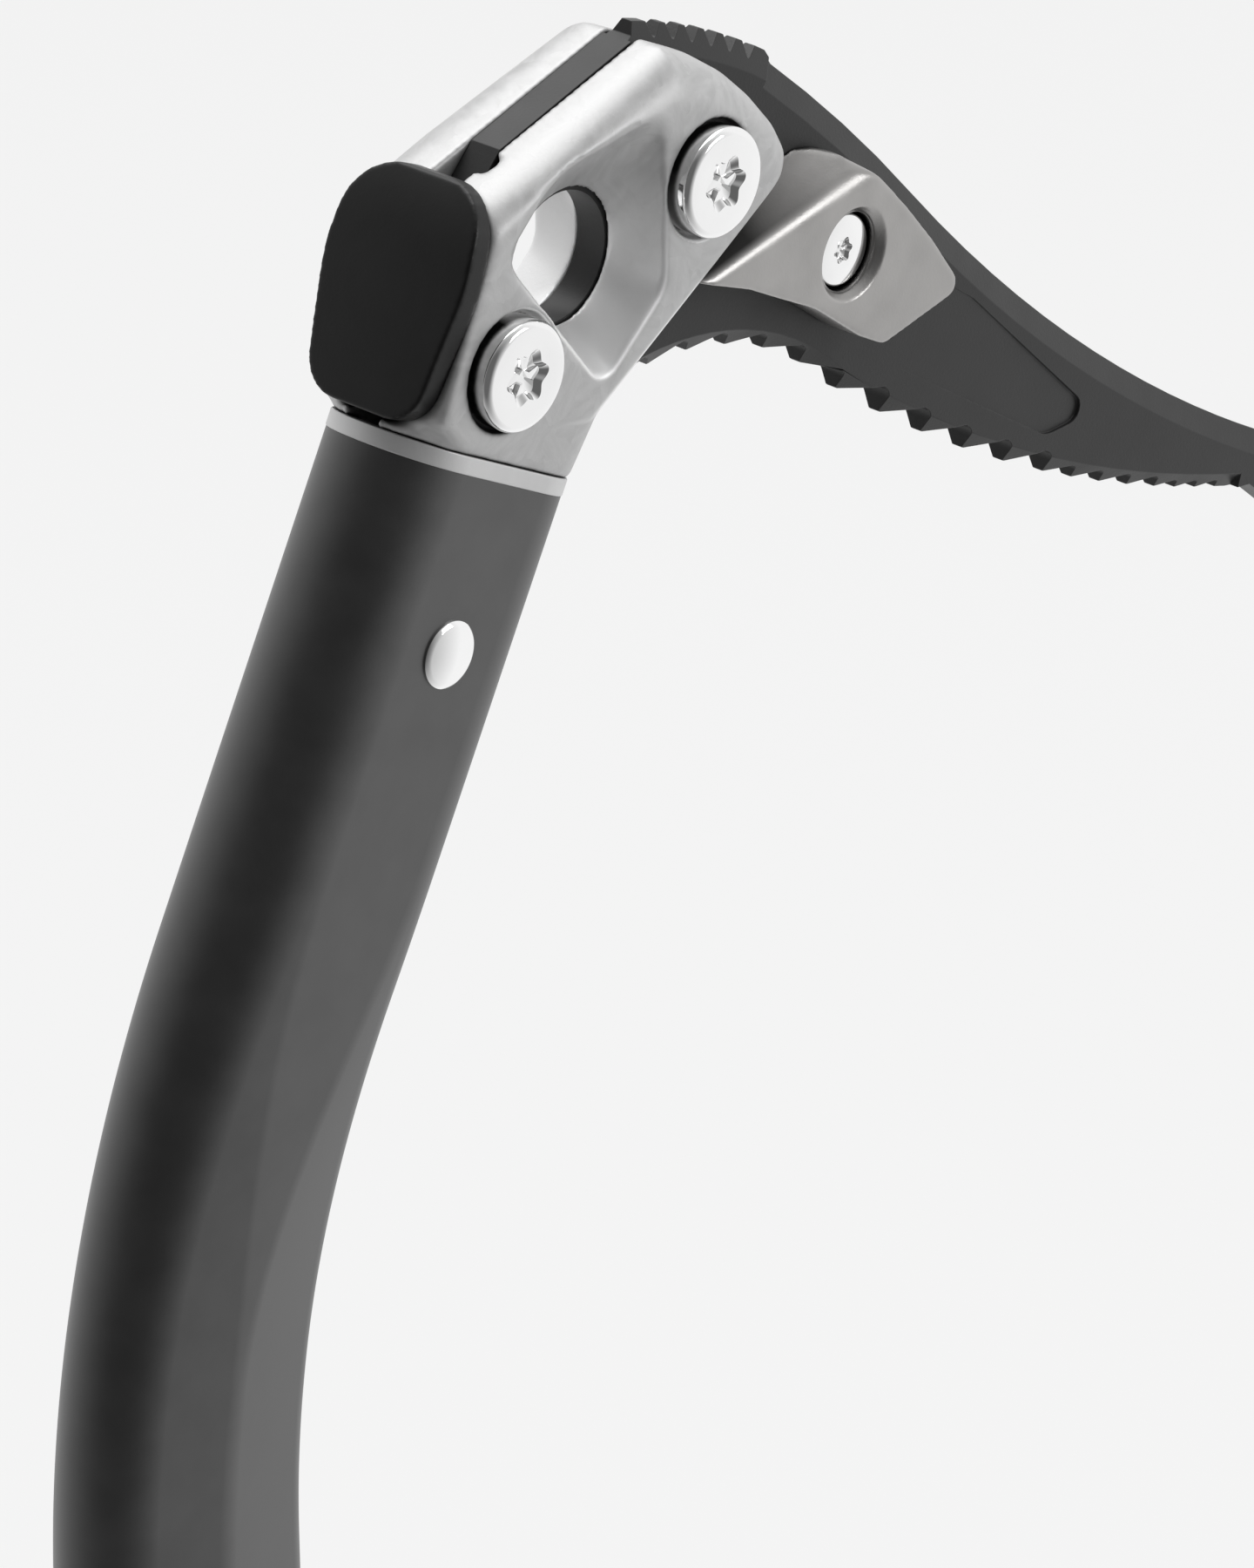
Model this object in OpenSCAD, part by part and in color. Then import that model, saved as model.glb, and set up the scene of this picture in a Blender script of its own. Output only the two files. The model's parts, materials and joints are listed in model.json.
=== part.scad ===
// Ice climbing tool. A forged fork head holds a toothed pick, two pick weights and a small
// hammer on top of a curved tube shaft. Below are a moulded grip, a hand rest that slides
// along the shaft's end, and a spike.
// Sizes are in millimetres. The origin is the middle of the carabiner hole in the head,
// X points towards the pick's tip, Y runs across the tool and Z points up.

/* [Head] */
// Width of the head across both cheeks
head_w = 19; // [18:0.5:22]
// How far the rounded shoulder of a cheek reaches in from its side face
shoulder = 5; // [3.5:0.5:6]
// Radius of the carabiner hole through the pick
clip_r = 7.3; // [6.6:0.1:7.4]
// Room between the pick and each wall of its slot
slot_gap = 0.05; // [0.03:0.01:0.1]
// Length of the tang that holds the head in the shaft
tang_len = 27; // [25:0.5:28]

/* [Pick] */
// How far the tip of the pick stands forward of the carabiner hole
pick_reach = 147; // [140:1:155]
// Thickness of the pick
pick_t = 4; // [3.6:0.1:4.4]
// Flat left between the bevels on the spine and on the teeth
crest_w = 1.4; // [1:0.1:2]
// Height of the bevels along the spine
spine_bevel = 3; // [2:0.1:3.6]
// Height of the bevels along the teeth
tooth_bevel = 2; // [1.2:0.1:2.6]
// Depth of the notches between the teeth on top
top_tooth_depth = 1.8; // [1.2:0.1:2.2]
// Depth of the notches between the large teeth underneath
under_tooth_depth = 2.4; // [1.6:0.1:2.8]
// Depth of the shallow panel on each side of the pick, at its deep end
panel_depth = 0.6; // [0.3:0.1:0.8]

/* [Pick bolts] */
// Radius of the bolt shanks
bolt_r = 3; // [2.5:0.1:3.3]
// Radius of the bolt heads
bolt_head_r = 6.1; // [5.6:0.1:6.2]
// Height of the bolt heads
bolt_head_h = 3.6; // [3.2:0.1:4]
// Depth of the counterbores that the heads sit in
bolt_sink = 1.5; // [1:0.1:2]
// Room round a bolt head in its counterbore
sink_gap = 0.5; // [0.3:0.05:0.6]
// Width of the nuts across their flats
nut_flats = 10; // [9:0.1:10.5]
// Thickness of the nuts
nut_t = 5; // [4:0.1:5.5]

/* [Weights] */
// Thickness of one pick weight
weight_t = 6; // [5.5:0.1:7]
// Radius of the weight screw's shank
weight_screw_r = 2.5; // [2:0.1:2.8]
// Radius of the weight screw's head
weight_head_r = 4.2; // [3.8:0.1:4.5]
// Height of the weight screw's head
weight_head_h = 2.2; // [1.8:0.1:2.6]
// Depth of the recess that the weight screw's head lies in
weight_sink = 3.8; // [3.4:0.1:4.2]
// Width of the weight nut across its flats
weight_nut_flats = 8; // [7.5:0.1:8.5]
// Thickness of the weight nut
weight_nut_t = 4; // [3.4:0.1:4.6]

/* [Hammer] */
// Width of the hammer plate where its sides bulge
hammer_w = 19.9; // [18.5:0.1:21.5]
// Width of the hammer plate at its top
hammer_top_w = 17.5; // [16.5:0.1:18.5]
// Width of the hammer plate at its foot
hammer_foot_w = 15.1; // [14:0.1:17]
// Height of the hammer plate
hammer_h = 25.4; // [23:0.1:25.6]
// Thickness of the hammer plate
hammer_t = 3.2; // [2.8:0.1:4.2]
// Radius of the hammer plate's upper corners
hammer_corner = 6.5; // [4:0.5:7]

/* [Shaft] */
// Depth of the shaft from back to front
shaft_d = 30.8; // [30:0.2:33]
// Width of the shaft from side to side
shaft_w = 17.3; // [16.5:0.1:18]
// Depth of the shaft's faceted middle from back to front
mid_d = 32.5; // [31:0.5:34]
// Wall of the shaft tube
shaft_wall = 2; // [1.4:0.1:2.4]
// Height of the ring between head and shaft
collar_t = 2; // [1.5:0.1:3]
// How far that ring stands out from the shaft
collar_lip = 0.1; // [0.1:0.1:1]
// Lean of the upper shaft, in degrees
shaft_lean = 28.6; // [26:0.2:31]
// Length of the straight upper shaft
upper_len = 55.6; // [52:0.2:70]
// Radius of the main bend
bend_r = 146; // [120:1:170]
// Length of the tool from the carabiner hole down to the end of the spike
tool_len = 461.3; // [445:0.1:480]
// Radius of the bend above the grip
grip_bend_r = 110; // [90:1:140]
// Lean of the handle towards the pick, in degrees
grip_lean = 22; // [15:1:28]
// Radius of the rivet's shank
rivet_r = 3; // [2.5:0.1:3.3]
// Radius of the rivet's domed heads
rivet_head_r = 3.75; // [3.5:0.05:4.5]
// Distance from the shaft's top to the rivet
rivet_drop = 18.7; // [15:0.1:26]

/* [Grip] */
// Length of the rubber grip
grip_len = 98; // [85:1:110]
// Thickness of the rubber at its thinnest
grip_wall = 3; // [2:0.1:4]
// Height of the finger rest's band round the shaft
finger_band_h = 16; // [13:0.5:20]
// How far the finger rest stands out in front of the shaft
finger_reach = 20; // [14:0.5:26]
// Radius of the screw through the finger rest
finger_screw_r = 2; // [1.6:0.1:2.4]

/* [Hand rest] */
// Height of the hand rest's band round the shaft
rest_band_h = 22; // [18:0.5:26]
// Wall of the two bands round the shaft
band_wall = 4; // [3:0.1:5]
// Room between the sliding hand rest and the shaft
rest_gap = 0.3; // [0.2:0.05:0.5]
// How far the hand rest stands out in front of the shaft
rest_reach = 27; // [20:0.5:34]
// Travel of the hand rest
rest_travel = 14; // [8:0.5:16]
// Radius of the clamp bolt through the hand rest
clamp_r = 2.5; // [2:0.1:3]

/* [Spike] */
// Thickness of the spike
spike_t = 5; // [4:0.1:6]
// Width of the spike's blade
spike_w = 24; // [20:0.5:28]
// How far the spike stands out of the shaft
spike_len = 36; // [30:0.5:45]
// Radius of the tether hole
tether_r = 5; // [4:0.1:6]
// Radius of the two spike rivets
spike_rivet_r = 2.5; // [2:0.1:3]
// Length of the plug in the shaft's end
plug_len = 26; // [24:0.5:32]

/* [Hidden] */
$fn = 64;

// Clearance of pieces that are fixed inside one another, and of a shank in its hole
fixed_gap = 0.1;
shank_gap = 0.05;
// Clearance of the head's tang in the shaft, and between a weight and the head
tang_gap = 0.2;
weight_gap = 0.15;
// Extra length of every cut past the face that it breaks
past = 1;

// Places in the head, as X and Z
upper_bolt_at = [15.7, 6];
lower_bolt_at = [-15.2, -5.7];
weight_screw_at = [41.4, -11.6];
collar_at = [-14.7, -16.9];

// Layers across the head
cheek_y = head_w / 2;
slot_w = pick_t + 2 * slot_gap;
weight_y = pick_t / 2 + weight_t;
sink_r = bolt_head_r + sink_gap;
weight_sink_r = weight_head_r + sink_gap * 0.7;
// Chamfer round the mouth of the weight screw's recess
weight_rim = 0.9;

// Cheek outline where the shoulder starts, and on the side face, point for point
cheek_rim = [[-25, -11], [-27, -8], [-17, 12.8], [-8.8, 15], [12.2, 21], [17, 18.6], [21.7, 15.4],
             [25.4, 12], [29, 7.9], [30.8, 4.6], [29.9, 2.3], [26.9, 0.8], [3.4, -12.6], [-1, -17]];
cheek_face = [[-21.8, -12.3], [-25.6, -7], [-17.5, 8.8], [-8.4, 12.1], [10.6, 14.8], [14.2, 14.2], [18, 11.4],
              [21.8, 8.5], [24.7, 5.3], [26, 3.4], [26, 2.2], [25.2, 1.2], [2.6, -11.8], [-4, -15]];
// Mouth of the window in each cheek, with its corner radii
window = [[-16, 7.3], [-8, 14.6], [8.3, 16], [8.5, -4], [-1.2, -12]];
window_radii = [2, 12, 2.5, 3, 2];
// Floor of the slot between the cheeks, from the back to the front
slot_floor = [[-40, -6.4], [-22, -13], [-11, -14.6], [-4, -15.6], [5, -18.2], [14, -22]];

// Round relief in the near cheek, beside the slot behind the roof, and the roof's slope
relief_at = [-11.2, 14.3];
relief_r = 2.3;
relief_bite = 1.2;
relief_depth = 2.5;
roof_slope = 16;

// Hammer plate: the middle of its inner face, and how far it leans from upright
hammer_at = [-21.1, 2.6];
hammer_lean = 24;
hammer_crown_r = 200;
hammer_side_r = 20;
bulge_up = 2.5;
lap_r = bolt_head_r + 0.9;

// Arcs of the pick's edges: the points that each runs through, and its radius
teeth_r = 87.5;
spine_r = 250.8;
blade_r = 288.2;
belly_r = 43;
throat_r = 252.4;
spine_join = [60, -12.4];
belly_join = [46, -31];
teeth_arc = arc_through([13, 22.3], [34.5, 12.5], teeth_r, 1);
spine_arc = arc_through([34.5, 11.4], spine_join, spine_r, 1);
blade_arc = arc_through(spine_join, [135, -69.7], blade_r, -1);
belly_arc = arc_through([8, -18.7], belly_join, belly_r, 1);
throat_arc = arc_through(belly_join, [122, -71.4], throat_r, -1);
// X where one stretch of the pick's edge takes over from the next
teeth_x = [13, 34.5];
spine_end_x = pick_reach - 12;
belly_x = [8, belly_join.x];
throat_end_x = pick_reach - 25;
// Beak round the tip, as steps from the end of the spine and from the end of the teeth
spine_end = [spine_end_x, arc_z(blade_arc, spine_end_x, -1)];
throat_end = [throat_end_x, arc_z(throat_arc, throat_end_x, -1)];
beak = concat([for (step = [[6.5, -7.3], [12, -18.8], [3, -13.9]]) spine_end + step],
              [for (step = [[10, -6.2], [3.5, -0.6]]) throat_end + step]);
// The pick's rear in the head
lug_r = 6.3;
pick_rear = concat([[-4, -14.6]], [for (a = [-90:-15:-210]) lower_bolt_at + lug_r * [cos(a), sin(a)]],
                   [[-14.5, 4], [-12, 11.8], [-8.8, 15], [12.2, 21]]);
// Teeth underneath: how many in each run, their spacing along X, and their share of the depth
first_tooth_x = 9;
small_tooth_step = 4.13;
large_runs = [[6, 6.37, 0.85], [5, 7.65, 1.3], [4, 5.5, 0.7]];
small_teeth_x = first_tooth_x + [for (run = large_runs) run[0] * run[1]] * [1, 1, 1];
small_teeth = floor((throat_end_x - small_teeth_x - 2) / small_tooth_step);
tooth_runs = concat(large_runs, [[small_teeth, small_tooth_step, 0.48]]);
top_teeth = 6;
top_tooth_x = 14.8;
top_tooth_step = 3.1;
// Panel on the pick's side, along it from the end where it starts, and how its floor slopes down
panel_at = [55, -29];
panel_turn = 35.6;
panel_len = 44;
panel = [[0, -1.9], [36.5, -0.6], [panel_len, 4.6], [11.8, 9.3], [0, 9.3]];
panel_radii = [0.5, 5, 1.8, 2, 0.5];
edge_steps = 14;

// Weight outline, and the line that its sloped back facet starts from
weight_outline = [[15.5, -6.6], [27.2, 0.2], [31, 1.4], [36.7, 0.7], [40.2, -0.1], [42.8, -1.2], [46.4, -4.4],
                  [51, -9.4], [55.3, -14.5], [60.8, -22], [47, -24.4], [43, -22.1], [35.5, -16.3],
                  [28.1, -12.3], [24.5, -10.3], [18, -7.6]];
weight_radii = [0.3, 1, 1, 3, 3, 2, 8, 8, 8, 1.6, 2, 2, 20, 20, 8, 3];
facet_at = [20.2, -6.6];
facet_turn = 9.8;
facet_slope = 34;

// Heights on the handle, measured down its axis from the end of the bend
finger_top = 2;
band_gap = 0.5;
grip_top = finger_top + finger_band_h + band_gap;
rest_top = grip_top + grip_len + band_gap;
clamp_drop = rest_top + rest_band_h / 2;
slot_end = clamp_drop + rest_travel + clamp_r;
plug_top = max(slot_end + 3, rest_top + rest_band_h + rest_travel - 5);
handle_len = plug_top + plug_len;
spike_rivet_drops = [plug_top + 12, plug_top + 20];
tether_drop = handle_len + 11;

// Shaft axis: straight, bend, straight, bend, straight, as points and leans
function down(lean) = [-sin(lean), -cos(lean)];
function front(lean) = [cos(lean), -sin(lean)];
shaft_top = collar_at + down(shaft_lean) * collar_t;
bend_start = shaft_top + down(shaft_lean) * upper_len;
bend_mid = bend_start + front(shaft_lean) * bend_r;
bend_end = bend_mid - front(0) * bend_r;
handle_drop = grip_bend_r * sin(grip_lean) + (handle_len + spike_len) * cos(grip_lean);
mid_len = tool_len + bend_end.y - handle_drop;
grip_bend_start = bend_end + down(0) * mid_len;
grip_bend_mid = grip_bend_start + front(0) * grip_bend_r;
handle_top = grip_bend_mid - front(-grip_lean) * grip_bend_r;

inner_w = shaft_w - 2 * shaft_wall;
inner_d = shaft_d - 2 * shaft_wall;
band_d = shaft_d + 2 * (rest_gap + band_wall);
band_w = shaft_w + 2 * (rest_gap + band_wall);

// Faceted middle of the shaft: nose radii, ridge radius and the tilts of its two facets
front_nose_r = shaft_w * 0.31;
back_nose_r = shaft_w * 0.36;
ridge_r = shaft_w / 6;
front_tilt = 79;
back_tilt = 114;
// Distances down the shaft over which the section turns from half round ends to facets
facets_start = 22;
facets_end = 80;

// Basic helpers
function unit(v) = v / norm(v);
function pick_from(list, i) = is_list(list) ? list[i] : list;

// Outline with every corner turned into an arc; radius is one number or one per corner
function rounded(p, radius, steps = 6) =
    [for (i = [0:len(p) - 1])
        let (r = pick_from(radius, i),
             u = unit(p[(i + len(p) - 1) % len(p)] - p[i]),
             v = unit(p[(i + 1) % len(p)] - p[i]),
             half = acos(u * v) / 2,
             middle = p[i] + unit(u + v) * r / sin(half),
             s = p[i] + u * r / tan(half) - middle,
             e = p[i] + v * r / tan(half) - middle,
             a = atan2(s.y, s.x),
             turn = (atan2(e.y, e.x) - a + 540) % 360 - 180)
        for (k = [0:steps]) middle + r * [cos(a + turn * k / steps), sin(a + turn * k / steps)]];

// Arc through two points, as a centre and a radius; it bulges up for +1 and down for -1
function arc_through(p, q, r, side) =
    let (half = (q - p) / 2, across = unit([-half.y, half.x]))
    [p + half - side * across * sqrt(r * r - half * half), r];
// Height of an arc at x: its upper side for +1, its lower side for -1
function arc_z(arc, x, side) = arc[0].y + side * sqrt(pow(arc[1], 2) - pow(x - arc[0].x, 2));
function arc_points(arc, from, to, side, steps) =
    [for (k = [0:steps]) let (x = from + (to - from) * k / steps) [x, arc_z(arc, x, side)]];

// Flat profile in X and Z, thick across Y and centred on the tool's mid plane
module plate(t) {
    rotate([90, 0, 0]) linear_extrude(t, center = true) children();
}

// Flat profile in X and Z between two values of Y
module plate_between(y0, y1) {
    translate([0, y1, 0]) rotate([90, 0, 0]) linear_extrude(y1 - y0) children();
}

// Round bar across the tool between two values of Y
module cross_bar(at, r, y0, y1, sides = 64) {
    translate([at.x, y1, at.y]) rotate([90, 0, 0]) cylinder(r = r, h = y1 - y0, $fn = sides);
}

// Six-sided bar across the tool, given its width across the flats
module cross_hex(at, flats, y0, y1) {
    cross_bar(at, flats / sqrt(3), y0, y1, 6);
}

// Six-lobed key socket, open towards -Y at y0
module key_socket(at, r, y0, depth) {
    lobe = r * 0.3;
    cross_bar(at, r * 0.78, y0 - past, y0 + depth);
    for (k = [0:5])
        cross_bar(at + (r - lobe) * [cos(60 * k), sin(60 * k)], lobe, y0 - past, y0 + depth, 24);
}

// Section with half round ends, depth along X and width along Y
module stadium(d, w) {
    square([d - w, w], center = true);
    for (side = [-1, 1]) translate([side * (d - w) / 2, 0]) circle(w / 2);
}

// Frame on the upper shaft's axis, Z up the shaft, from the top of the tube
module on_upper_shaft() {
    translate([shaft_top.x, 0, shaft_top.y]) rotate([0, shaft_lean, 0]) children();
}

// Frame on the handle's axis, Z up the handle, from the end of the bend above it
module on_handle() {
    translate([handle_top.x, 0, handle_top.y]) rotate([0, -grip_lean, 0]) children();
}

// Frame on the hammer plate's inner face, Z out of the back of the head, Y across, X up the plate
module on_hammer() {
    translate([hammer_at.x, 0, hammer_at.y]) rotate([0, -90 + hammer_lean, 0]) children();
}

// Solid through a list of rings with equal numbers of points
module loft(rings) {
    n = len(rings[0]);
    m = len(rings);
    polyhedron(
        [for (ring = rings) each ring],
        concat([[for (i = [n - 1:-1:0]) i]],
               [for (j = [0:m - 2], i = [0:n - 1])
                   each [[j * n + i, j * n + (i + 1) % n, (j + 1) * n + i],
                         [j * n + (i + 1) % n, (j + 1) * n + (i + 1) % n, (j + 1) * n + i]]],
               [[for (i = [0:n - 1]) (m - 1) * n + i]]));
}

// Tube through outer and inner rings with equal numbers of points
module tube(outer, inner) {
    n = len(outer[0]);
    m = len(outer);
    function at(wall, j, i) = (wall * m + j) * n + i % n;
    polyhedron(
        concat([for (ring = outer) each ring], [for (ring = inner) each ring]),
        [for (i = [0:n - 1])
            each concat(
                [for (j = [0:m - 2])
                    each [[at(0, j, i), at(0, j, i + 1), at(0, j + 1, i)],
                          [at(0, j, i + 1), at(0, j + 1, i + 1), at(0, j + 1, i)],
                          [at(1, j, i), at(1, j + 1, i), at(1, j, i + 1)],
                          [at(1, j, i + 1), at(1, j + 1, i), at(1, j + 1, i + 1)]]],
                [[at(0, 0, i), at(1, 0, i), at(0, 0, i + 1)],
                 [at(0, 0, i + 1), at(1, 0, i), at(1, 0, i + 1)],
                 [at(0, m - 1, i), at(0, m - 1, i + 1), at(1, m - 1, i)],
                 [at(0, m - 1, i + 1), at(1, m - 1, i + 1), at(1, m - 1, i)]])]);
}

// Shaft section by the direction that its surface faces: half round ends, or the faceted form
facing = concat([for (a = [-78:13:78]) a], [80, 86, 94, 103, 113],
                [for (a = [115:13:245]) a], [247, 257, 266, 274, 280]);
function round_end(a) = [(shaft_d - shaft_w) / 2 * (cos(a) > 0 ? 1 : -1), 0];
ridge = let (front_x = mid_d / 2 - front_nose_r, back_x = back_nose_r - mid_d / 2,
             p = front_nose_r - ridge_r + front_x * cos(front_tilt),
             q = back_nose_r - ridge_r + back_x * cos(back_tilt))
    [p * sin(back_tilt) - q * sin(front_tilt), q * cos(front_tilt) - p * cos(back_tilt)]
        / sin(back_tilt - front_tilt);
function faceted_point(a, inset) =
    let (b = a > 180 ? 360 - a : abs(a), flip = a > 180 || a < 0 ? -1 : 1,
         nose = b < front_tilt ? [mid_d / 2 - front_nose_r, 0, front_nose_r] :
                b < back_tilt ? [ridge.x, ridge.y, ridge_r] : [back_nose_r - mid_d / 2, 0, back_nose_r])
    [nose[0] + (nose[2] - inset) * cos(b), flip * (nose[1] + (nose[2] - inset) * sin(b))];
function section(inset, facets) =
    [for (a = facing) (1 - facets) * (round_end(a) + (shaft_w / 2 - inset) * [cos(a), sin(a)])
                      + facets * faceted_point(a, inset)];

// Stations down the shaft: a point, a lean, and how far the section is faceted there
function ease(t) = let (u = min(max(t, 0), 1)) u * u * (3 - 2 * u);
function facets_at(drop) = ease((drop - facets_start) / (facets_end - facets_start));
stations = concat(
    [for (drop = [0, 0.4, 0.55, 0.7, 0.85] * upper_len)
        [shaft_top + down(shaft_lean) * drop, shaft_lean, facets_at(drop)]],
    [for (t = [0:0.1:1]) let (lean = shaft_lean * (1 - t))
        [bend_mid - front(lean) * bend_r, lean, facets_at(upper_len + t * bend_r * shaft_lean * PI / 180)]],
    [[bend_end + down(0) * mid_len * 0.5, 0, 1]],
    [for (t = [0:0.125:1]) let (lean = -grip_lean * t)
        [grip_bend_mid - front(lean) * grip_bend_r, lean, 1 - ease(t)]],
    [[handle_top + down(-grip_lean) * handle_len, -grip_lean, 0]]);
function shaft_rings(inset) =
    [for (s = stations)
        [for (p = section(inset, s[2])) let (xz = s[0] + front(s[1]) * p.x) [xz.x, p.y, xz.y]]];

module shaft() color([0.09, 0.09, 0.1]) difference() {
    tube(shaft_rings(0), shaft_rings(shaft_wall));
    on_upper_shaft() cross_bar([0, -rivet_drop], rivet_r + shank_gap, -shaft_w, shaft_w);
    on_handle() {
        cross_bar([0, -finger_top - finger_band_h / 2], finger_screw_r + shank_gap, -shaft_w, shaft_w);
        for (drop = spike_rivet_drops) cross_bar([0, -drop], spike_rivet_r + shank_gap, -shaft_w, shaft_w);
        for (drop = [clamp_drop, clamp_drop + rest_travel])
            cross_bar([0, -drop], clamp_r + fixed_gap, -shaft_w, shaft_w);
        translate([0, 0, -clamp_drop - rest_travel / 2])
            cube([2 * (clamp_r + fixed_gap), 2 * shaft_w, rest_travel], center = true);
    }
}

module collar() color([0.72, 0.72, 0.73]) on_upper_shaft() linear_extrude(collar_t) difference() {
    stadium(shaft_d + 2 * collar_lip, shaft_w + 2 * collar_lip);
    stadium(inner_d - fixed_gap, inner_w - fixed_gap);
}

// Rivet across the tool with a dome on each side
module dome_rivet(at, r, head_r, half_w) {
    rim_h = head_r * 0.1;
    dome_h = head_r * 0.16;
    dome_r = (head_r * head_r + dome_h * dome_h) / (2 * dome_h);
    cross_bar(at, r, -half_w - past / 10, half_w + past / 10);
    for (turn = [90, -90])
        translate([at.x, 0, at.y]) rotate([turn, 0, 0]) translate([0, 0, half_w])
            rotate_extrude() intersection() {
                square([head_r, rim_h + dome_h]);
                translate([0, rim_h + dome_h - dome_r]) circle(dome_r, $fn = 360);
            }
}

module shaft_rivet() color([0.85, 0.85, 0.86]) on_upper_shaft()
    dome_rivet([0, -rivet_drop], rivet_r, rivet_head_r, shaft_w / 2);

// Funnel from the round hole at the slot to the window's mouth in one cheek
module window_cut(side) {
    rim_y = side * (slot_w / 2 - fixed_gap / 2);
    hull() {
        cross_bar([0, 0], clip_r, rim_y - fixed_gap / 2, rim_y + fixed_gap / 2);
        translate([0, side * (cheek_y + past / 2), 0]) plate(past)
            polygon(rounded(window, window_radii));
    }
}

// Room that the hammer plate takes behind the head
module hammer_room() {
    on_hammer() translate([-hammer_h / 2 - 0.3, -head_w, 0]) cube([3 * hammer_h, 2 * head_w, 4 * hammer_t]);
}

module head() color([0.68, 0.68, 0.69]) difference() {
    open = 3 * head_w;
    union() {
        hull() for (turn = [0:15:90])
            plate(2 * (cheek_y - shoulder + shoulder * sin(turn)))
                polygon([for (i = [0:len(cheek_rim) - 1])
                            cheek_rim[i] + (cheek_face[i] - cheek_rim[i]) * (1 - cos(turn))]);
        hull() {
            on_upper_shaft() translate([0, 0, collar_t]) linear_extrude(1.8)
                stadium(shaft_d + 2 * collar_lip, shaft_w + 2 * collar_lip);
            plate(head_w - 1) polygon([[-22.5, -9.5], [-22, -2], [-2, -6], [1.2, -11.4]]);
        }
        on_upper_shaft() translate([0, 0, -tang_len]) linear_extrude(tang_len + collar_t + past)
            stadium(inner_d - 2 * tang_gap, inner_w - 2 * tang_gap);
    }
    on_upper_shaft() cross_bar([0, -rivet_drop], rivet_r + shank_gap, -shaft_w, shaft_w);
    hammer_room();
    translate([relief_at.x, relief_r - relief_bite - slot_w / 2, relief_at.y]) rotate([0, -roof_slope, 0])
        cylinder(r = relief_r, h = 2 * relief_depth, center = true);
    plate(slot_w) polygon(concat(slot_floor, [[open, slot_floor[len(slot_floor) - 1].y], [open, open],
                                              [slot_floor[0].x, open]]));
    for (side = [-1, 1]) window_cut(side);
    for (at = [upper_bolt_at, lower_bolt_at]) {
        cross_bar(at, bolt_r + shank_gap, -head_w, head_w);
        cross_bar(at, sink_r, -head_w, -cheek_y + bolt_sink);
        cross_hex(at, nut_flats + 2 * fixed_gap, cheek_y - nut_t, head_w);
    }
}

// Edge lines of the pick, each from the head towards the tip
teeth_line = arc_points(teeth_arc, teeth_x[0], teeth_x[1], 1, edge_steps);
spine_line = concat(arc_points(spine_arc, teeth_x[1] + 1, spine_join.x, 1, 4),
                    arc_points(blade_arc, spine_join.x + 5, spine_end_x, -1, edge_steps));
belly_line = concat(arc_points(belly_arc, belly_x[0], belly_x[1], 1, edge_steps),
                    arc_points(throat_arc, belly_x[1] + 5, throat_end_x, -1, edge_steps));
function reversed(list) = [for (i = [len(list) - 1:-1:0]) list[i]];
pick_outline = concat(pick_rear, teeth_line, spine_line, beak, reversed(belly_line));

// Cutter that bevels the edge along a line, towards one side of the tool
module edge_bevel(line, height, up, side) {
    half = pick_t / 2;
    per_mm = (half - crest_w / 2) / height;
    profile = [[past, crest_w / 2 - per_mm * past], [-height - past, half + per_mm * past],
               [-height - past, half + 2], [past, half + 2]];
    last = len(line) - 1;
    rings = [for (i = [0:last])
        let (along = unit(line[min(i + 1, last)] - line[max(i - 1, 0)]),
             out = up * [-along.y, along.x],
             over = i == 0 ? -past : i == last ? past : 0)
        [for (q = profile) let (xz = line[i] + out * q[0] + along * over) [xz.x, side * q[1], xz.y]]];
    loft(up * side < 0 ? rings : reversed(rings));
}

// X of every tooth crest underneath, with its notch depth
function run_start(k) =
    k == 0 ? first_tooth_x : run_start(k - 1) + tooth_runs[k - 1][0] * tooth_runs[k - 1][1];
under_teeth = [for (k = [0:len(tooth_runs) - 1]) for (i = [0:tooth_runs[k][0] - 1])
    [run_start(k) + i * tooth_runs[k][1], tooth_runs[k][1], tooth_runs[k][2] * under_tooth_depth]];
function belly_z(x) = x < belly_x[1] ? arc_z(belly_arc, x, 1) : arc_z(throat_arc, x, -1);

// Notch between two teeth underneath: a long flank, a round root and a steep back wall
module under_notch(x, step, depth) {
    from = [x, belly_z(x)];
    to = [x + step, belly_z(x + step)];
    pitch = norm(to - from);
    crest = pitch * 0.05;
    root_x = pitch * 0.86;
    flank_run = (root_x - crest) / depth;
    wall_run = (pitch - root_x) / depth;
    translate(from) rotate(atan2(to.y - from.y, to.x - from.x))
        polygon(rounded([[crest - flank_run * past, -past], [root_x, depth],
                         [pitch + wall_run * past, -past]],
                        [0.05, depth * 0.55, 0.05]));
}

// Notch between two teeth on top
module top_notch(x) {
    half = top_tooth_step * 0.6;
    slope = atan2(teeth_arc[0].x - x, arc_z(teeth_arc, x, 1) - teeth_arc[0].y);
    translate([x, arc_z(teeth_arc, x, 1)]) rotate(slope)
        polygon(rounded([[0, -top_tooth_depth], [half, past], [-half, past]], [0.3, 0.05, 0.05]));
}

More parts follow.
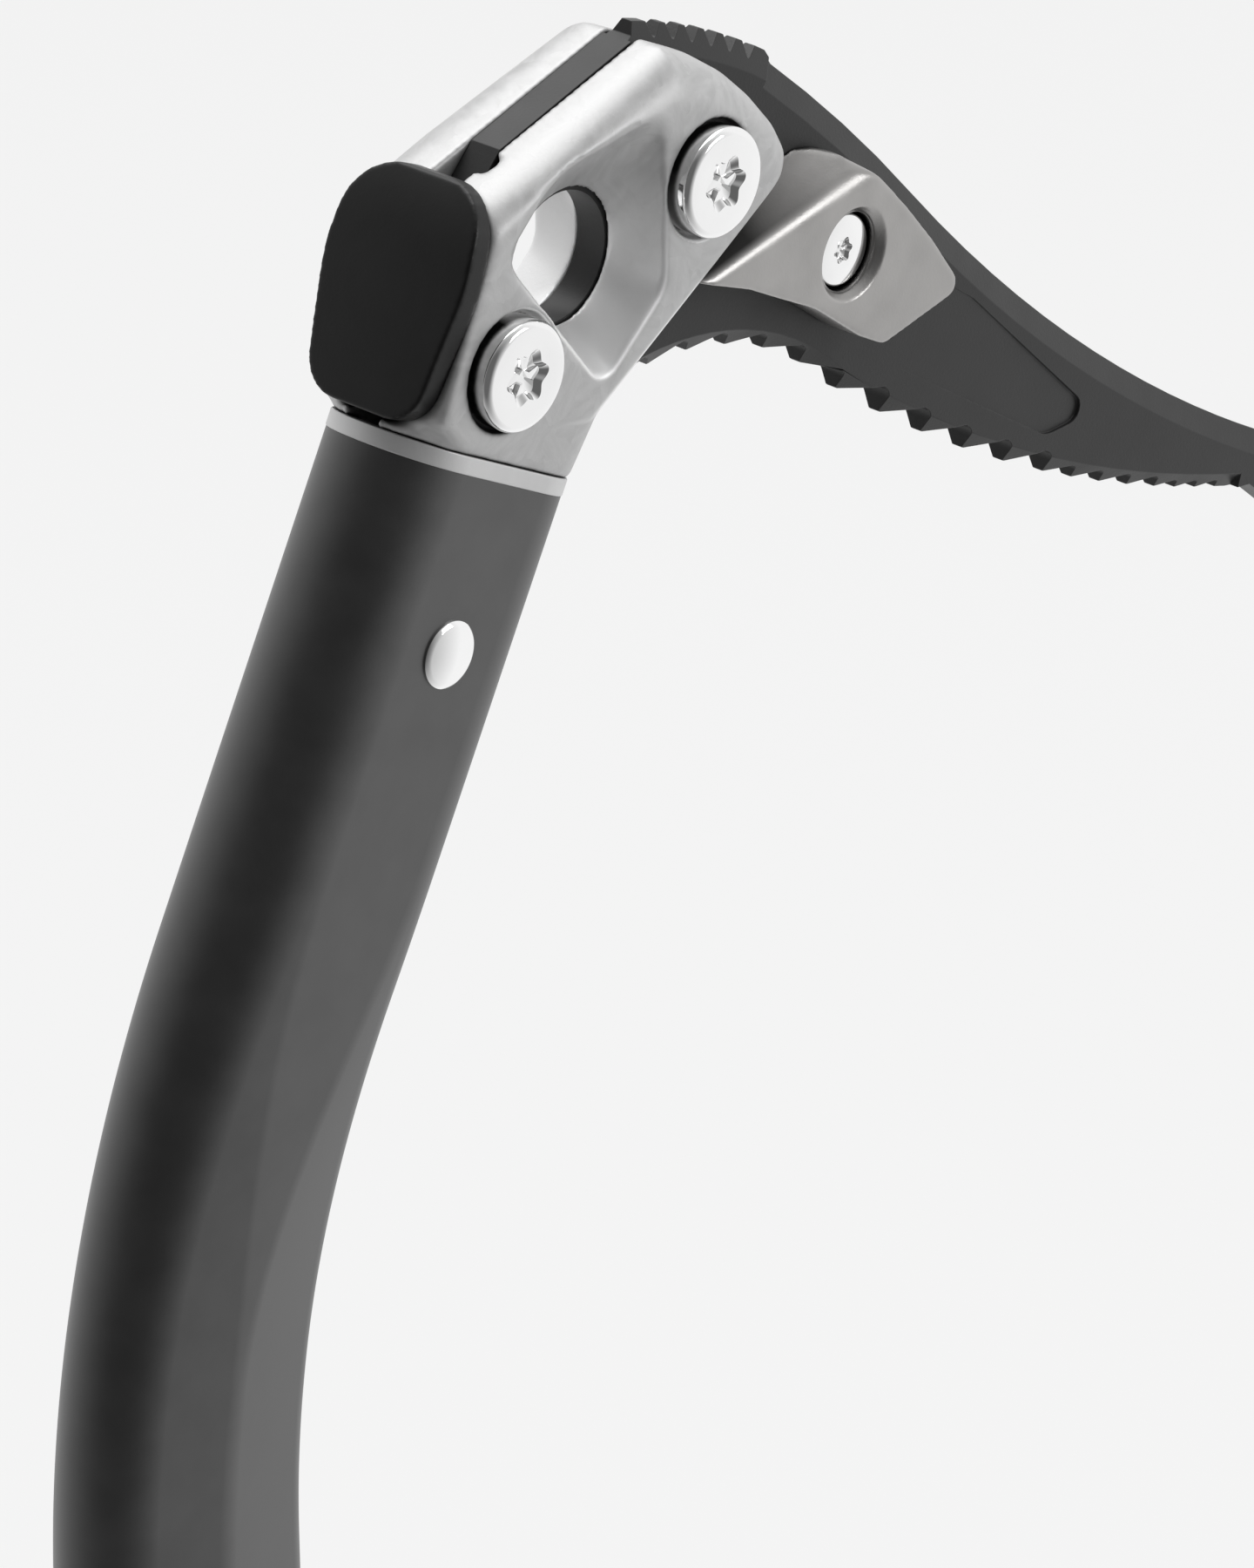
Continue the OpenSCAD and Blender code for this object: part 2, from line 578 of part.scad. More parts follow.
module pick() color([0.2, 0.2, 0.2]) difference() {
    plate(pick_t) difference() {
        polygon(pick_outline);
        for (tooth = under_teeth) under_notch(tooth[0], tooth[1], tooth[2]);
        for (k = [0:top_teeth - 1]) top_notch(top_tooth_x + (k + 0.5) * top_tooth_step);
    }
    for (side = [-1, 1]) {
        edge_bevel(teeth_line, spine_bevel, 1, side);
        edge_bevel(concat(spine_line, [beak[0], beak[1]]), spine_bevel, 1, side);
        edge_bevel(belly_line, tooth_bevel, -1, side);
        translate([panel_at.x, side * pick_t / 2, panel_at.y])
            rotate([0, panel_turn, -side * asin(panel_depth / panel_len)])
            translate([0, side * pick_t / 2, 0]) plate(pick_t) polygon(rounded(panel, panel_radii));
    }
    cross_bar([0, 0], clip_r, -pick_t, pick_t);
    for (at = [upper_bolt_at, lower_bolt_at]) cross_bar(at, bolt_r + shank_gap, -pick_t, pick_t);
    cross_bar(lower_bolt_at, lap_r, -pick_t, shank_gap);
    cross_bar(weight_screw_at, weight_screw_r + shank_gap, -pick_t, pick_t);
}

// Bolt with a rounded flat head on the near side and its end in the nut on the far side
module socket_bolt(at, r, head_r, head_h, seat_y, end_y, socket_r) {
    edge = head_h * 0.22;
    difference() {
        union() {
            cross_bar(at, r, seat_y - past / 10, end_y);
            translate([at.x, seat_y, at.y]) rotate([90, 0, 0]) rotate_extrude()
                union() {
                    square([head_r, head_h - edge]);
                    square([head_r - edge, head_h]);
                    translate([head_r - edge, head_h - edge]) circle(edge, $fn = 32);
                }
        }
        key_socket(at, socket_r, seat_y - head_h, head_h * 0.7);
    }
}

module pick_bolt(at) {
    socket_bolt(at, bolt_r, bolt_head_r, bolt_head_h, -cheek_y + bolt_sink, cheek_y, bolt_head_r * 0.54);
}

module upper_pick_bolt() color([0.88, 0.88, 0.89]) pick_bolt(upper_bolt_at);
module lower_pick_bolt() color([0.88, 0.88, 0.89]) pick_bolt(lower_bolt_at);

// Six-sided nut across the tool, drilled for its bolt
module nut(at, flats, r, y0, y1) {
    difference() {
        cross_hex(at, flats, y0, y1);
        cross_bar(at, r + shank_gap, y0 - past, y1 + past);
    }
}

module upper_pick_nut() color([0.75, 0.75, 0.76])
    nut(upper_bolt_at, nut_flats, bolt_r, cheek_y - nut_t, cheek_y);
module lower_pick_nut() color([0.75, 0.75, 0.76])
    nut(lower_bolt_at, nut_flats, bolt_r, cheek_y - nut_t, cheek_y);

// Hammer plate with a crowned face, and a tang whose thinned end laps the pick on the lower bolt
module hammer() color([0.12, 0.12, 0.12]) {
    top = hammer_h / 2;
    foot_corner = hammer_corner * 0.7;
    difference() {
        union() {
            on_hammer() intersection() {
                translate([0, 0, shank_gap]) linear_extrude(hammer_t - shank_gap)
                    polygon(rounded([[-top, -hammer_foot_w / 2], [bulge_up, -hammer_w / 2],
                                     [top, -hammer_top_w / 2], [top, hammer_top_w / 2],
                                     [bulge_up, hammer_w / 2], [-top, hammer_foot_w / 2]],
                                    [foot_corner, hammer_side_r, hammer_corner,
                                     hammer_corner, hammer_side_r, foot_corner]));
                translate([0, 0, hammer_t - hammer_crown_r]) sphere(hammer_crown_r, $fn = 420);
            }
            difference() {
                plate_between(-pick_t / 2, pick_t / 2) hammer_tang();
                cross_bar(lower_bolt_at, lap_r, -pick_t, pick_t);
            }
            plate_between(-pick_t / 2, -shank_gap) {
                hammer_tang();
                translate(lower_bolt_at) circle(lap_r - 0.3);
            }
        }
        cross_bar(lower_bolt_at, bolt_r + shank_gap, -pick_t, pick_t);
    }
}

// Tang profile, from the plate to the lower bolt
module hammer_tang() {
    tang_half = lap_r * 0.6;
    plate_x = hammer_at.x - 1 + (lower_bolt_at.y - hammer_at.y) * tan(hammer_lean);
    translate([plate_x, lower_bolt_at.y - tang_half]) square([lower_bolt_at.x - plate_x, 2 * tang_half]);
}

// Near-side weight: a thick plate whose back slopes down to the pick beside the head
module weight_plate() difference() {
    block = 20 * weight_t;
    plate_between(-weight_y, -pick_t / 2) polygon(rounded(weight_outline, weight_radii));
    translate([facet_at.x, -weight_y, facet_at.y]) rotate([facet_slope, -facet_turn, 0])
        translate([-block / 2, -block / 2, 0]) cube([block, block, block / 2]);
    plate(head_w) translate(weight_gap * [1, -1]) polygon(cheek_rim);
}

module near_weight() color([0.62, 0.6, 0.57]) difference() {
    weight_plate();
    cross_bar(weight_screw_at, weight_screw_r + shank_gap, -2 * weight_y, 0);
    cross_bar(weight_screw_at, weight_sink_r, -2 * weight_y, -weight_y + weight_sink);
    translate([weight_screw_at.x, weight_rim - weight_y, weight_screw_at.y]) rotate([90, 0, 0])
        cylinder(r1 = weight_sink_r, r2 = weight_sink_r + 2 * weight_rim, h = 2 * weight_rim);
}

module far_weight() color([0.62, 0.6, 0.57]) difference() {
    mirror([0, 1, 0]) weight_plate();
    cross_bar(weight_screw_at, weight_screw_r + shank_gap, 0, 2 * weight_y);
    cross_hex(weight_screw_at, weight_nut_flats + 2 * fixed_gap, weight_y - weight_nut_t, 2 * weight_y);
}

module weight_screw() color([0.88, 0.88, 0.89])
    socket_bolt(weight_screw_at, weight_screw_r, weight_head_r, weight_head_h,
                -weight_y + weight_sink, weight_y, weight_head_r * 0.36);

module weight_nut() color([0.75, 0.75, 0.76])
    nut(weight_screw_at, weight_nut_flats, weight_screw_r, weight_y - weight_nut_t, weight_y);

// Band round the handle between two drops down its axis
module band(drop, h, gap) {
    translate([0, 0, -drop - h]) linear_extrude(h) difference() {
        stadium(band_d, band_w);
        stadium(shaft_d + 2 * gap, shaft_w + 2 * gap);
    }
}

// Horn in front of a band: a profile in X and Z, cut to a plan with a round tip
module horn(reach, width, drop, h) {
    root = shaft_d / 2 + band_wall / 2;
    tip = shaft_d / 2 + reach;
    intersection() {
        plate(width) children();
        translate([0, 0, -drop - 2 * h]) linear_extrude(4 * h) {
            translate([root, -width / 2]) square([tip - root - width / 2, width]);
            translate([tip - width / 2, 0]) circle(width / 2);
        }
    }
}

module finger_rest() color([0.13, 0.13, 0.13]) on_handle() {
    mid = finger_top + finger_band_h / 2;
    tip = shaft_d / 2 + finger_reach;
    root = shaft_d / 2 + band_wall / 2;
    scoop_r = finger_reach * 0.6;
    difference() {
        union() {
            band(finger_top, finger_band_h, fixed_gap);
            horn(finger_reach, band_w * 0.62, finger_top, finger_band_h) difference() {
                polygon(rounded([[root, -finger_top], [root, -finger_top - finger_band_h],
                                 [tip, -finger_top - finger_band_h * 0.8], [tip, -finger_top]],
                                [0.1, 0.1, 3, 3]));
                translate([tip - scoop_r * 0.9, -finger_top - finger_band_h * 0.5 - scoop_r])
                    circle(scoop_r);
                translate([tip - scoop_r * 0.7, -finger_top - finger_band_h * 0.16 + scoop_r])
                    circle(scoop_r);
            }
        }
        cross_bar([0, -mid], finger_screw_r + shank_gap, -band_w, band_w);
        cross_bar([0, -mid], 2 * finger_screw_r + fixed_gap, -band_w, -band_w / 2 + finger_screw_r);
        cross_hex([0, -mid], 3.5 * finger_screw_r + fixed_gap, band_w / 2 - finger_screw_r, band_w);
    }
}

module finger_rest_screw() color([0.8, 0.8, 0.81]) on_handle()
    socket_bolt([0, -finger_top - finger_band_h / 2], finger_screw_r, 2 * finger_screw_r - fixed_gap,
                finger_screw_r, -band_w / 2 + finger_screw_r, band_w / 2, finger_screw_r);

module finger_rest_nut() color([0.75, 0.75, 0.76]) on_handle()
    nut([0, -finger_top - finger_band_h / 2], 3.5 * finger_screw_r - fixed_gap, finger_screw_r,
        band_w / 2 - finger_screw_r, band_w / 2);

// Rubber grip: half round sections whose depth swells for the fingers and whose width fills the palm
grip_rings = 24;
grip_swell = 2.4;
finger_count = 4;
function grip_ring(t) =
    let (ends = pow(abs(2 * t - 1), 6),
         wave = 0.5 - 0.5 * cos(360 * finger_count * t),
         half_w = shaft_w / 2 + grip_wall + grip_swell * sin(180 * t) - ends,
         front_x = shaft_d / 2 + grip_wall + grip_swell * 0.4 * (1 - wave) + grip_swell * t - ends,
         back_x = shaft_d / 2 + grip_wall + grip_swell * sin(180 * t) - ends)
    [for (a = facing) let (reach = cos(a) > 0 ? front_x - half_w : half_w - back_x)
        [reach + half_w * cos(a), half_w * sin(a), -grip_top - grip_len * t]];

module grip() color([0.08, 0.08, 0.08]) on_handle() difference() {
    loft([for (k = [0:grip_rings]) grip_ring(k / grip_rings)]);
    translate([0, 0, -grip_top - grip_len - past]) linear_extrude(grip_len + 2 * past)
        stadium(shaft_d + 2 * fixed_gap, shaft_w + 2 * fixed_gap);
}

// Upper face of the hand rest's horn, a scoop under the edge of the hand
rest_scoop_r = rest_reach * 0.9;
rest_scoop_at = [shaft_d / 2 + rest_reach * 0.52, -rest_top + rest_scoop_r - rest_band_h * 0.3];

module hand_rest() color([0.13, 0.13, 0.13]) on_handle() {
    tip = shaft_d / 2 + rest_reach;
    root = shaft_d / 2 + band_wall / 2;
    difference() {
        union() {
            band(rest_top, rest_band_h, rest_gap);
            horn(rest_reach, band_w * 0.8, rest_top, rest_band_h) difference() {
                polygon(rounded([[root, -rest_top], [root, -rest_top - rest_band_h],
                                 [tip, -rest_top - rest_band_h * 0.62], [tip, -rest_top]],
                                [0.1, 0.1, 5, 2]));
                translate(rest_scoop_at) circle(rest_scoop_r);
            }
        }
        cross_bar([0, -clamp_drop], clamp_r + shank_gap, -band_w, band_w);
        cross_bar([0, -clamp_drop], 2 * clamp_r + fixed_gap, -band_w, -band_w / 2 + clamp_r);
        cross_hex([0, -clamp_drop], 3.2 * clamp_r + fixed_gap, band_w / 2 - clamp_r, band_w);
        rest_pad_form(fixed_gap);
    }
}

// Rubber pad that lies in the scoop of the horn
module rest_pad_form(room) {
    thick = 2;
    width = band_w * 0.56 + 2 * room;
    from = shaft_d / 2 + band_wall + rest_gap + 2 - room;
    intersection() {
        plate(width) difference() {
            translate(rest_scoop_at) circle(rest_scoop_r + thick + room);
            translate(rest_scoop_at) circle(rest_scoop_r + room / 100);
        }
        translate([from, -width / 2, -rest_top - rest_band_h])
            cube([rest_reach * 0.55 + 2 * room, width, 1.2 * rest_band_h]);
    }
}

module hand_rest_pad() color([0.07, 0.07, 0.07]) on_handle() rest_pad_form(0);

module hand_rest_bolt() color([0.8, 0.8, 0.81]) on_handle()
    socket_bolt([0, -clamp_drop], clamp_r, 2 * clamp_r - fixed_gap, clamp_r,
                -band_w / 2 + clamp_r, band_w / 2, clamp_r);

module hand_rest_nut() color([0.75, 0.75, 0.76]) on_handle()
    nut([0, -clamp_drop], 3.2 * clamp_r - fixed_gap, clamp_r, band_w / 2 - clamp_r, band_w / 2);

// Spike profile: a tang in the plug, and a blade that narrows to a point below the tether hole
tang_w = 14;
module spike() color([0.3, 0.3, 0.31]) on_handle() difference() {
    tip = -handle_len - spike_len;
    plate(spike_t) polygon([[-tang_w / 2, -plug_top - 4], [tang_w / 2, -plug_top - 4],
                            [tang_w / 2, -handle_len], [spike_w / 2, -handle_len - shank_gap],
                            [spike_w / 2, -tether_drop - 2], [spike_w * 0.2, tip], [-spike_w * 0.05, tip],
                            [-spike_w / 2, -tether_drop - 2], [-spike_w / 2, -handle_len - shank_gap],
                            [-tang_w / 2, -handle_len]]);
    cross_bar([0, -tether_drop], tether_r, -spike_t, spike_t);
    for (drop = spike_rivet_drops) cross_bar([0, -drop], spike_rivet_r + shank_gap, -spike_t, spike_t);
}

module spike_plug() color([0.15, 0.15, 0.15]) on_handle() difference() {
    translate([0, 0, -handle_len]) linear_extrude(plug_len)
        stadium(inner_d - 2 * fixed_gap, inner_w - 2 * fixed_gap);
    translate([-tang_w / 2 - fixed_gap, -spike_t / 2 - shank_gap, -handle_len - past])
        cube([tang_w + 2 * fixed_gap, spike_t + 2 * shank_gap, plug_len - 4 + past + fixed_gap]);
    for (drop = spike_rivet_drops) cross_bar([0, -drop], spike_rivet_r + shank_gap, -shaft_w, shaft_w);
}

module spike_rivets() color([0.85, 0.85, 0.86]) on_handle()
    for (drop = spike_rivet_drops) dome_rivet([0, -drop], spike_rivet_r, spike_rivet_r * 1.25, shaft_w / 2);

head();
collar();
shaft();
shaft_rivet();
pick();
upper_pick_bolt();
lower_pick_bolt();
upper_pick_nut();
lower_pick_nut();
hammer();
near_weight();
far_weight();
weight_screw();
weight_nut();
finger_rest();
finger_rest_screw();
finger_rest_nut();
grip();
hand_rest();
hand_rest_pad();
hand_rest_bolt();
hand_rest_nut();
spike();
spike_plug();
spike_rivets();
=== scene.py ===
# %% [markdown]
# # An ice climbing tool
# The tool was first built as plain solids: a forged fork head, a toothed pick, two pick weights, a small
# hammer, a bent tube shaft, a rubber grip, two rests and a spike. This lesson dresses those solids.
# Each step says what a piece or finish is on the real tool, how it could be made, and why it is made
# this way here. Blender works in metres, in the frame of the solids. Most sizes below are written in
# millimetres, as on a drawing, and `MM` turns them into metres.

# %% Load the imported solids
import json
import math

import bmesh
import bpy
from mathutils import Matrix, Vector

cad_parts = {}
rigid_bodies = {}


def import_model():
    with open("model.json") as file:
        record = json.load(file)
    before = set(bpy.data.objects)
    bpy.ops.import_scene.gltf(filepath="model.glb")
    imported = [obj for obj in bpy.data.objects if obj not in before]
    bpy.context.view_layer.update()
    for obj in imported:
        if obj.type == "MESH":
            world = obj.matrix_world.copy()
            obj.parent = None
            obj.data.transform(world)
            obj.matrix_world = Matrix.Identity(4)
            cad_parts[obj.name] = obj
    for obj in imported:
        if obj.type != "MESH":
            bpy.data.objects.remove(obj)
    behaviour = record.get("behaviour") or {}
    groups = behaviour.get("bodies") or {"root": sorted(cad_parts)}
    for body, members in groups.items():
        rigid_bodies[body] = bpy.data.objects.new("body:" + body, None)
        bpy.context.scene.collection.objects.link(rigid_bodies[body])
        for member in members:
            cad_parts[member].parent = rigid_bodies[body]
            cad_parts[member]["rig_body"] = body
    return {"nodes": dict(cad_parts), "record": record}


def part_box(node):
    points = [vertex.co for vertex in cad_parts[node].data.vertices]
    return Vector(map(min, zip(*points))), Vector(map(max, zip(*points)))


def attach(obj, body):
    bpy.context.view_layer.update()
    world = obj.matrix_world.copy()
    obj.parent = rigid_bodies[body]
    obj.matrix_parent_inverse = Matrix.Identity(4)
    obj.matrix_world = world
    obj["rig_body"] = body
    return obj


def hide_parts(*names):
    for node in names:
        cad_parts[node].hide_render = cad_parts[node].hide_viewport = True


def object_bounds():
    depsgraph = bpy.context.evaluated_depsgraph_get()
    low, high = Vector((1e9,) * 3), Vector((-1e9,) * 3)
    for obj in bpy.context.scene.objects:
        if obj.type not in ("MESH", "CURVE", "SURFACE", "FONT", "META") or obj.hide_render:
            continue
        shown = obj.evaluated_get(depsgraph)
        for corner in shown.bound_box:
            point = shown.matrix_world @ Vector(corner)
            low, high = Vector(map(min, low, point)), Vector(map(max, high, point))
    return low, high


MM = 0.001
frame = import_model()
cad_low, cad_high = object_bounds()
scene = bpy.context.scene
scene.view_settings.view_transform = "Standard"

# %% [markdown]
# ## Camera
# The picture was taken with a long lens from behind, above and the near side of the tool. An azimuth and
# an elevation give the direction from the tool to the camera, and `to_track_quat` turns that direction
# into a rotation. A typed rotation would do too, but two angles are easier to check.

# %% Place the camera
AZIMUTH = math.radians(-48.2)
ELEVATION = math.radians(28.6)
CAMERA_AT = (-0.46323, -0.42584, 0.27941)
LENS = 150
SENSOR_WIDTH = 36
to_camera = Vector((
    math.sin(AZIMUTH) * math.cos(ELEVATION),
    -math.cos(AZIMUTH) * math.cos(ELEVATION),
    math.sin(ELEVATION),
))
camera = bpy.data.objects.new("photo_camera", bpy.data.cameras.new("photo_camera"))
camera.data.lens = LENS
camera.data.sensor_width = SENSOR_WIDTH
camera.location = CAMERA_AT
camera.rotation_euler = (-to_camera).to_track_quat("-Z", "Y").to_euler()
scene.collection.objects.link(camera)
scene.camera = camera
print("camera distance to the carabiner hole:", round(camera.location.length, 3), "m")

# %% [markdown]
# ## Node helpers
# Every finish below is a small tree of shader nodes. One helper adds a node, sets its options and fills
# its sockets, either with a value or with a link from another node. The others wrap the few nodes that
# return often. The nodes could be placed by hand in the editor, but helpers keep each finish readable.


# %% Helpers for shader nodes
def add_node(tree, kind, sockets=None, **options):
    """Add a node; sockets maps a socket's name or number to a value or to another node's output."""
    node = tree.nodes.new(kind)
    for option, value in options.items():
        setattr(node, option, value)
    for socket, value in (sockets or {}).items():
        if isinstance(value, bpy.types.NodeSocket):
            tree.links.new(value, node.inputs[socket])
        else:
            node.inputs[socket].default_value = value
    return node


def object_place(tree):
    """Output of the Object coordinates, which stay with a piece when it moves."""
    return add_node(tree, "ShaderNodeTexCoord").outputs["Object"]


def along(tree, vector, axis):
    """Output of one coordinate of a vector."""
    return add_node(tree, "ShaderNodeSeparateXYZ", {0: vector}).outputs[axis]


def product(tree, first, second):
    """Output of two values multiplied."""
    return add_node(tree, "ShaderNodeMath", {0: first, 1: second}, operation="MULTIPLY").outputs[0]


def noise(tree, place, scale, detail, roughness=0.5):
    """A noise texture node; each step of detail adds a finer layer."""
    return add_node(tree, "ShaderNodeTexNoise", {
        "Vector": place, "Scale": scale, "Detail": detail, "Roughness": roughness,
    })


def ranged(tree, value, low, high, to_low=0.0, to_high=1.0):
    """Output of a value moved from one range to another, held inside it."""
    node = add_node(tree, "ShaderNodeMapRange", {
        "Value": value, "From Min": low, "From Max": high, "To Min": to_low, "To Max": to_high,
    })
    return node.outputs["Result"]


def mixed_colour(tree, factor, first, second):
    """Output of a colour mix; the colours may be values or outputs."""
    node = add_node(tree, "ShaderNodeMix", {0: factor, 6: first, 7: second}, data_type="RGBA")
    return node.outputs[2]


def grey(level, warm=0.0):
    """A grey as a colour with alpha, a little warmer or cooler if asked."""
    return (level * (1 + warm), level, level * (1 - warm), 1.0)


print("node helpers ready")

# %% [markdown]
# ## Studio
# The tool is shown on a plain pale ground in soft light. Polished and anodised metal mostly shows what
# stands around it, so the room matters more than the lamps: it is white all round and dark to one side,
# past the camera and a little to its left, which draws the dark band down the shaft. A picture of a room
# could be wrapped round the scene, but a colour that follows the direction is enough, and it stays put
# when the camera moves. Only a ray from the camera itself meets the plain pale ground. Reflections show
# the room, which is pale too.

# %% Light the room
PALE = 0.896
ROOM_WHITE = 0.94
ROOM_DARK = 0.12
DARK_STARTS = -0.4
DARK_FULL = 0.8
dark_side = Vector((-0.85, -0.5, 0.17)).normalized()

room = bpy.data.worlds.new("studio_room")
room.use_nodes = True
scene.world = room
tree = room.node_tree
tree.nodes.clear()
outward = add_node(tree, "ShaderNodeTexCoord").outputs["Generated"]
toward = add_node(tree, "ShaderNodeVectorMath", {0: outward, 1: dark_side}, operation="DOT_PRODUCT")
darkness = ranged(tree, toward.outputs["Value"], DARK_STARTS, DARK_FULL)
room_colour = mixed_colour(tree, darkness, grey(ROOM_WHITE), grey(ROOM_DARK))
room_light = add_node(tree, "ShaderNodeBackground", {"Color": room_colour, "Strength": 1.0})
pale_ground = add_node(tree, "ShaderNodeBackground", {"Color": grey(PALE), "Strength": 1.0})
ray = add_node(tree, "ShaderNodeLightPath")
seen = add_node(tree, "ShaderNodeMixShader", {
    0: ray.outputs["Is Camera Ray"], 1: room_light.outputs[0], 2: pale_ground.outputs[0],
})
add_node(tree, "ShaderNodeOutputWorld", {"Surface": seen.outputs[0]})
print("room white", ROOM_WHITE, "and dark side", ROOM_DARK)

# %% [markdown]
# Two soft boxes add to the room's light, as over a photographer's table: a large one above, which
# brightens the top of the head, and a smaller one in front, to the near side, which lights the flanks.
# Each is a square area lamp that looks at the head. A sun lamp is simpler, but its shadows are hard.


# %% Hang the soft boxes
def soft_box(name, direction, distance, size, power):
    """A square area lamp that looks at the head from a direction."""
    lamp = bpy.data.lights.new(name, "AREA")
    lamp.size = size
    lamp.energy = power
    holder = bpy.data.objects.new(name, lamp)
    holder.location = Vector(direction).normalized() * distance
    holder.rotation_euler = holder.location.to_track_quat("Z", "Y").to_euler()
    scene.collection.objects.link(holder)


soft_box("overhead_box", direction=(0.25, 0.35, 0.9), distance=1.2, size=1.1, power=10.0)
soft_box("side_box", direction=(0.5, -0.82, 0.28), distance=1.2, size=0.45, power=2.6)
print("soft boxes:", len(bpy.data.lights))

# %% [markdown]
# ## Floor
# The floor lies under the spike. It keeps the tool's shadow, because a share of it is a plain matt
# surface. The rest shines, but only to the camera, so that both together give the pale grey of the
# ground behind. A floor that is matt all over would do too, but its tone would follow the lamps. The
# floor is hidden from reflections, so that the metal shows the room alone.

# %% Lay the floor
FLOOR_SIZE = 12.0
FLOOR_GAP = 0.5
FLOOR_GREY = 0.8
FLOOR_SHINE = 0.925
SHADOW_SHARE = 0.12

floor_finish = bpy.data.materials.new("floor_pale")
floor_finish.use_nodes = True
tree = floor_finish.node_tree
tree.nodes.clear()
matt = add_node(tree, "ShaderNodeBsdfDiffuse", {"Color": grey(FLOOR_GREY)})
shine = add_node(tree, "ShaderNodeEmission", {"Color": grey(FLOOR_SHINE), "Strength": 1.0})
ray = add_node(tree, "ShaderNodeLightPath")
share = product(tree, ray.outputs["Is Camera Ray"], 1.0 - SHADOW_SHARE)
both = add_node(tree, "ShaderNodeMixShader", {0: share, 1: matt.outputs[0], 2: shine.outputs[0]})
add_node(tree, "ShaderNodeOutputMaterial", {"Surface": both.outputs[0]})

bm = bmesh.new()
bmesh.ops.create_grid(bm, x_segments=1, y_segments=1, size=FLOOR_SIZE / 2)
bmesh.ops.translate(bm, verts=bm.verts, vec=(0, 0, cad_low.z - FLOOR_GAP * MM))
floor_mesh = bpy.data.meshes.new("floor")
bm.to_mesh(floor_mesh)
bm.free()
floor_mesh.materials.append(floor_finish)
floor = bpy.data.objects.new("floor", floor_mesh)
scene.collection.objects.link(floor)
floor.visible_glossy = False
print("floor at", round(cad_low.z, 4), "m")

# %% [markdown]
# ## Shared surface effects
# Four effects are node groups, built once and placed in each finish that shows them, with its own
# values. They could be copied into every material, but a group is mended in one place. The helper opens
# an empty group with its named sockets.


# %% Helper for node groups
def new_group(name, inputs, outputs):
    """An empty node group with float sockets; returns its tree and its two end nodes."""
    tree = bpy.data.node_groups.new(name, "ShaderNodeTree")
    for label, value in inputs.items():
        tree.interface.new_socket(label, in_out="INPUT", socket_type="NodeSocketFloat").default_value = value
    for label in outputs:
        tree.interface.new_socket(label, in_out="OUTPUT", socket_type="NodeSocketFloat")
    return tree, tree.nodes.new("NodeGroupInput"), tree.nodes.new("NodeGroupOutput")


print("group helper ready")

# %% [markdown]
# `grain` is the fine tooth of blasted or moulded surfaces, with broad patches for slow changes of tone.
# It is made of two noises. A picture of grain would need a UV map, and its edges would show.

# %% Build the grain
PATCH_SHARE = 0.06

grain_group, given, result = new_group("grain", {"Scale": 2000.0}, ["Height", "Patches"])
place = object_place(grain_group)
fine = noise(grain_group, place, given.outputs["Scale"], detail=4.0, roughness=0.6)
patch_scale = product(grain_group, given.outputs["Scale"], PATCH_SHARE)
patches = noise(grain_group, place, patch_scale, detail=3.0)
grain_group.links.new(fine.outputs["Fac"], result.inputs["Height"])
grain_group.links.new(patches.outputs["Fac"], result.inputs["Patches"])
print("group:", grain_group.name)

# %% [markdown]
# `spangle` is the patchy, frost-like look of forged and blasted alloy: cells, each with its own run of
# short streaks. A Voronoi texture gives every cell a random value, which turns the coordinates of a
# stretched noise. A plain noise would look like cloud instead. A second noise makes the cells' borders
# uneven.

# %% Build the spangle
WOBBLE_SCALE = 500.0
WOBBLE_REACH = 3 * MM
STREAK_SCALE = 900.0
STREAK_STRETCH = (1.0, 0.5, 0.16)
TURN_AXIS = (0.3, 0.9, 0.3)
FULL_TURN = 6.28

spangle_group, given, result = new_group("spangle", {"Cell scale": 260.0}, ["Mask"])
place = object_place(spangle_group)
wobble = noise(spangle_group, place, WOBBLE_SCALE, detail=2.0)
shift = add_node(spangle_group, "ShaderNodeVectorMath", {
    0: wobble.outputs["Color"], "Scale": WOBBLE_REACH,
}, operation="SCALE")
moved = add_node(spangle_group, "ShaderNodeVectorMath", {0: place, 1: shift.outputs[0]}, operation="ADD")
cells = add_node(spangle_group, "ShaderNodeTexVoronoi", {
    "Vector": moved.outputs[0], "Scale": given.outputs["Cell scale"],
})
turn = ranged(spangle_group, cells.outputs["Color"], 0.0, 1.0, 0.0, FULL_TURN)
turned = add_node(spangle_group, "ShaderNodeVectorRotate", {
    "Vector": place, "Axis": TURN_AXIS, "Angle": turn,
}, rotation_type="AXIS_ANGLE")
stretched = add_node(spangle_group, "ShaderNodeMapping", {
    "Vector": turned.outputs[0], "Scale": STREAK_STRETCH,
})
streaks = noise(spangle_group, stretched.outputs[0], STREAK_SCALE, detail=3.0)
spangle_group.links.new(streaks.outputs["Fac"], result.inputs["Mask"])
print("group:", spangle_group.name)

# %% [markdown]
# `edge_wear` finds edges by comparing the plain normal with one that is averaged over a small radius.
# Vertex colours could mark edges too, but they depend on how the mesh is divided. A noise breaks the worn
# line into chips.

# %% Build the edge wear
EDGE_STARTS = 0.99
EDGE_FULL = 0.86
CHIP_SCALE = 900.0
CHIP_LOW = 0.38
CHIP_HIGH = 0.62
LEAST_WEAR = 0.2

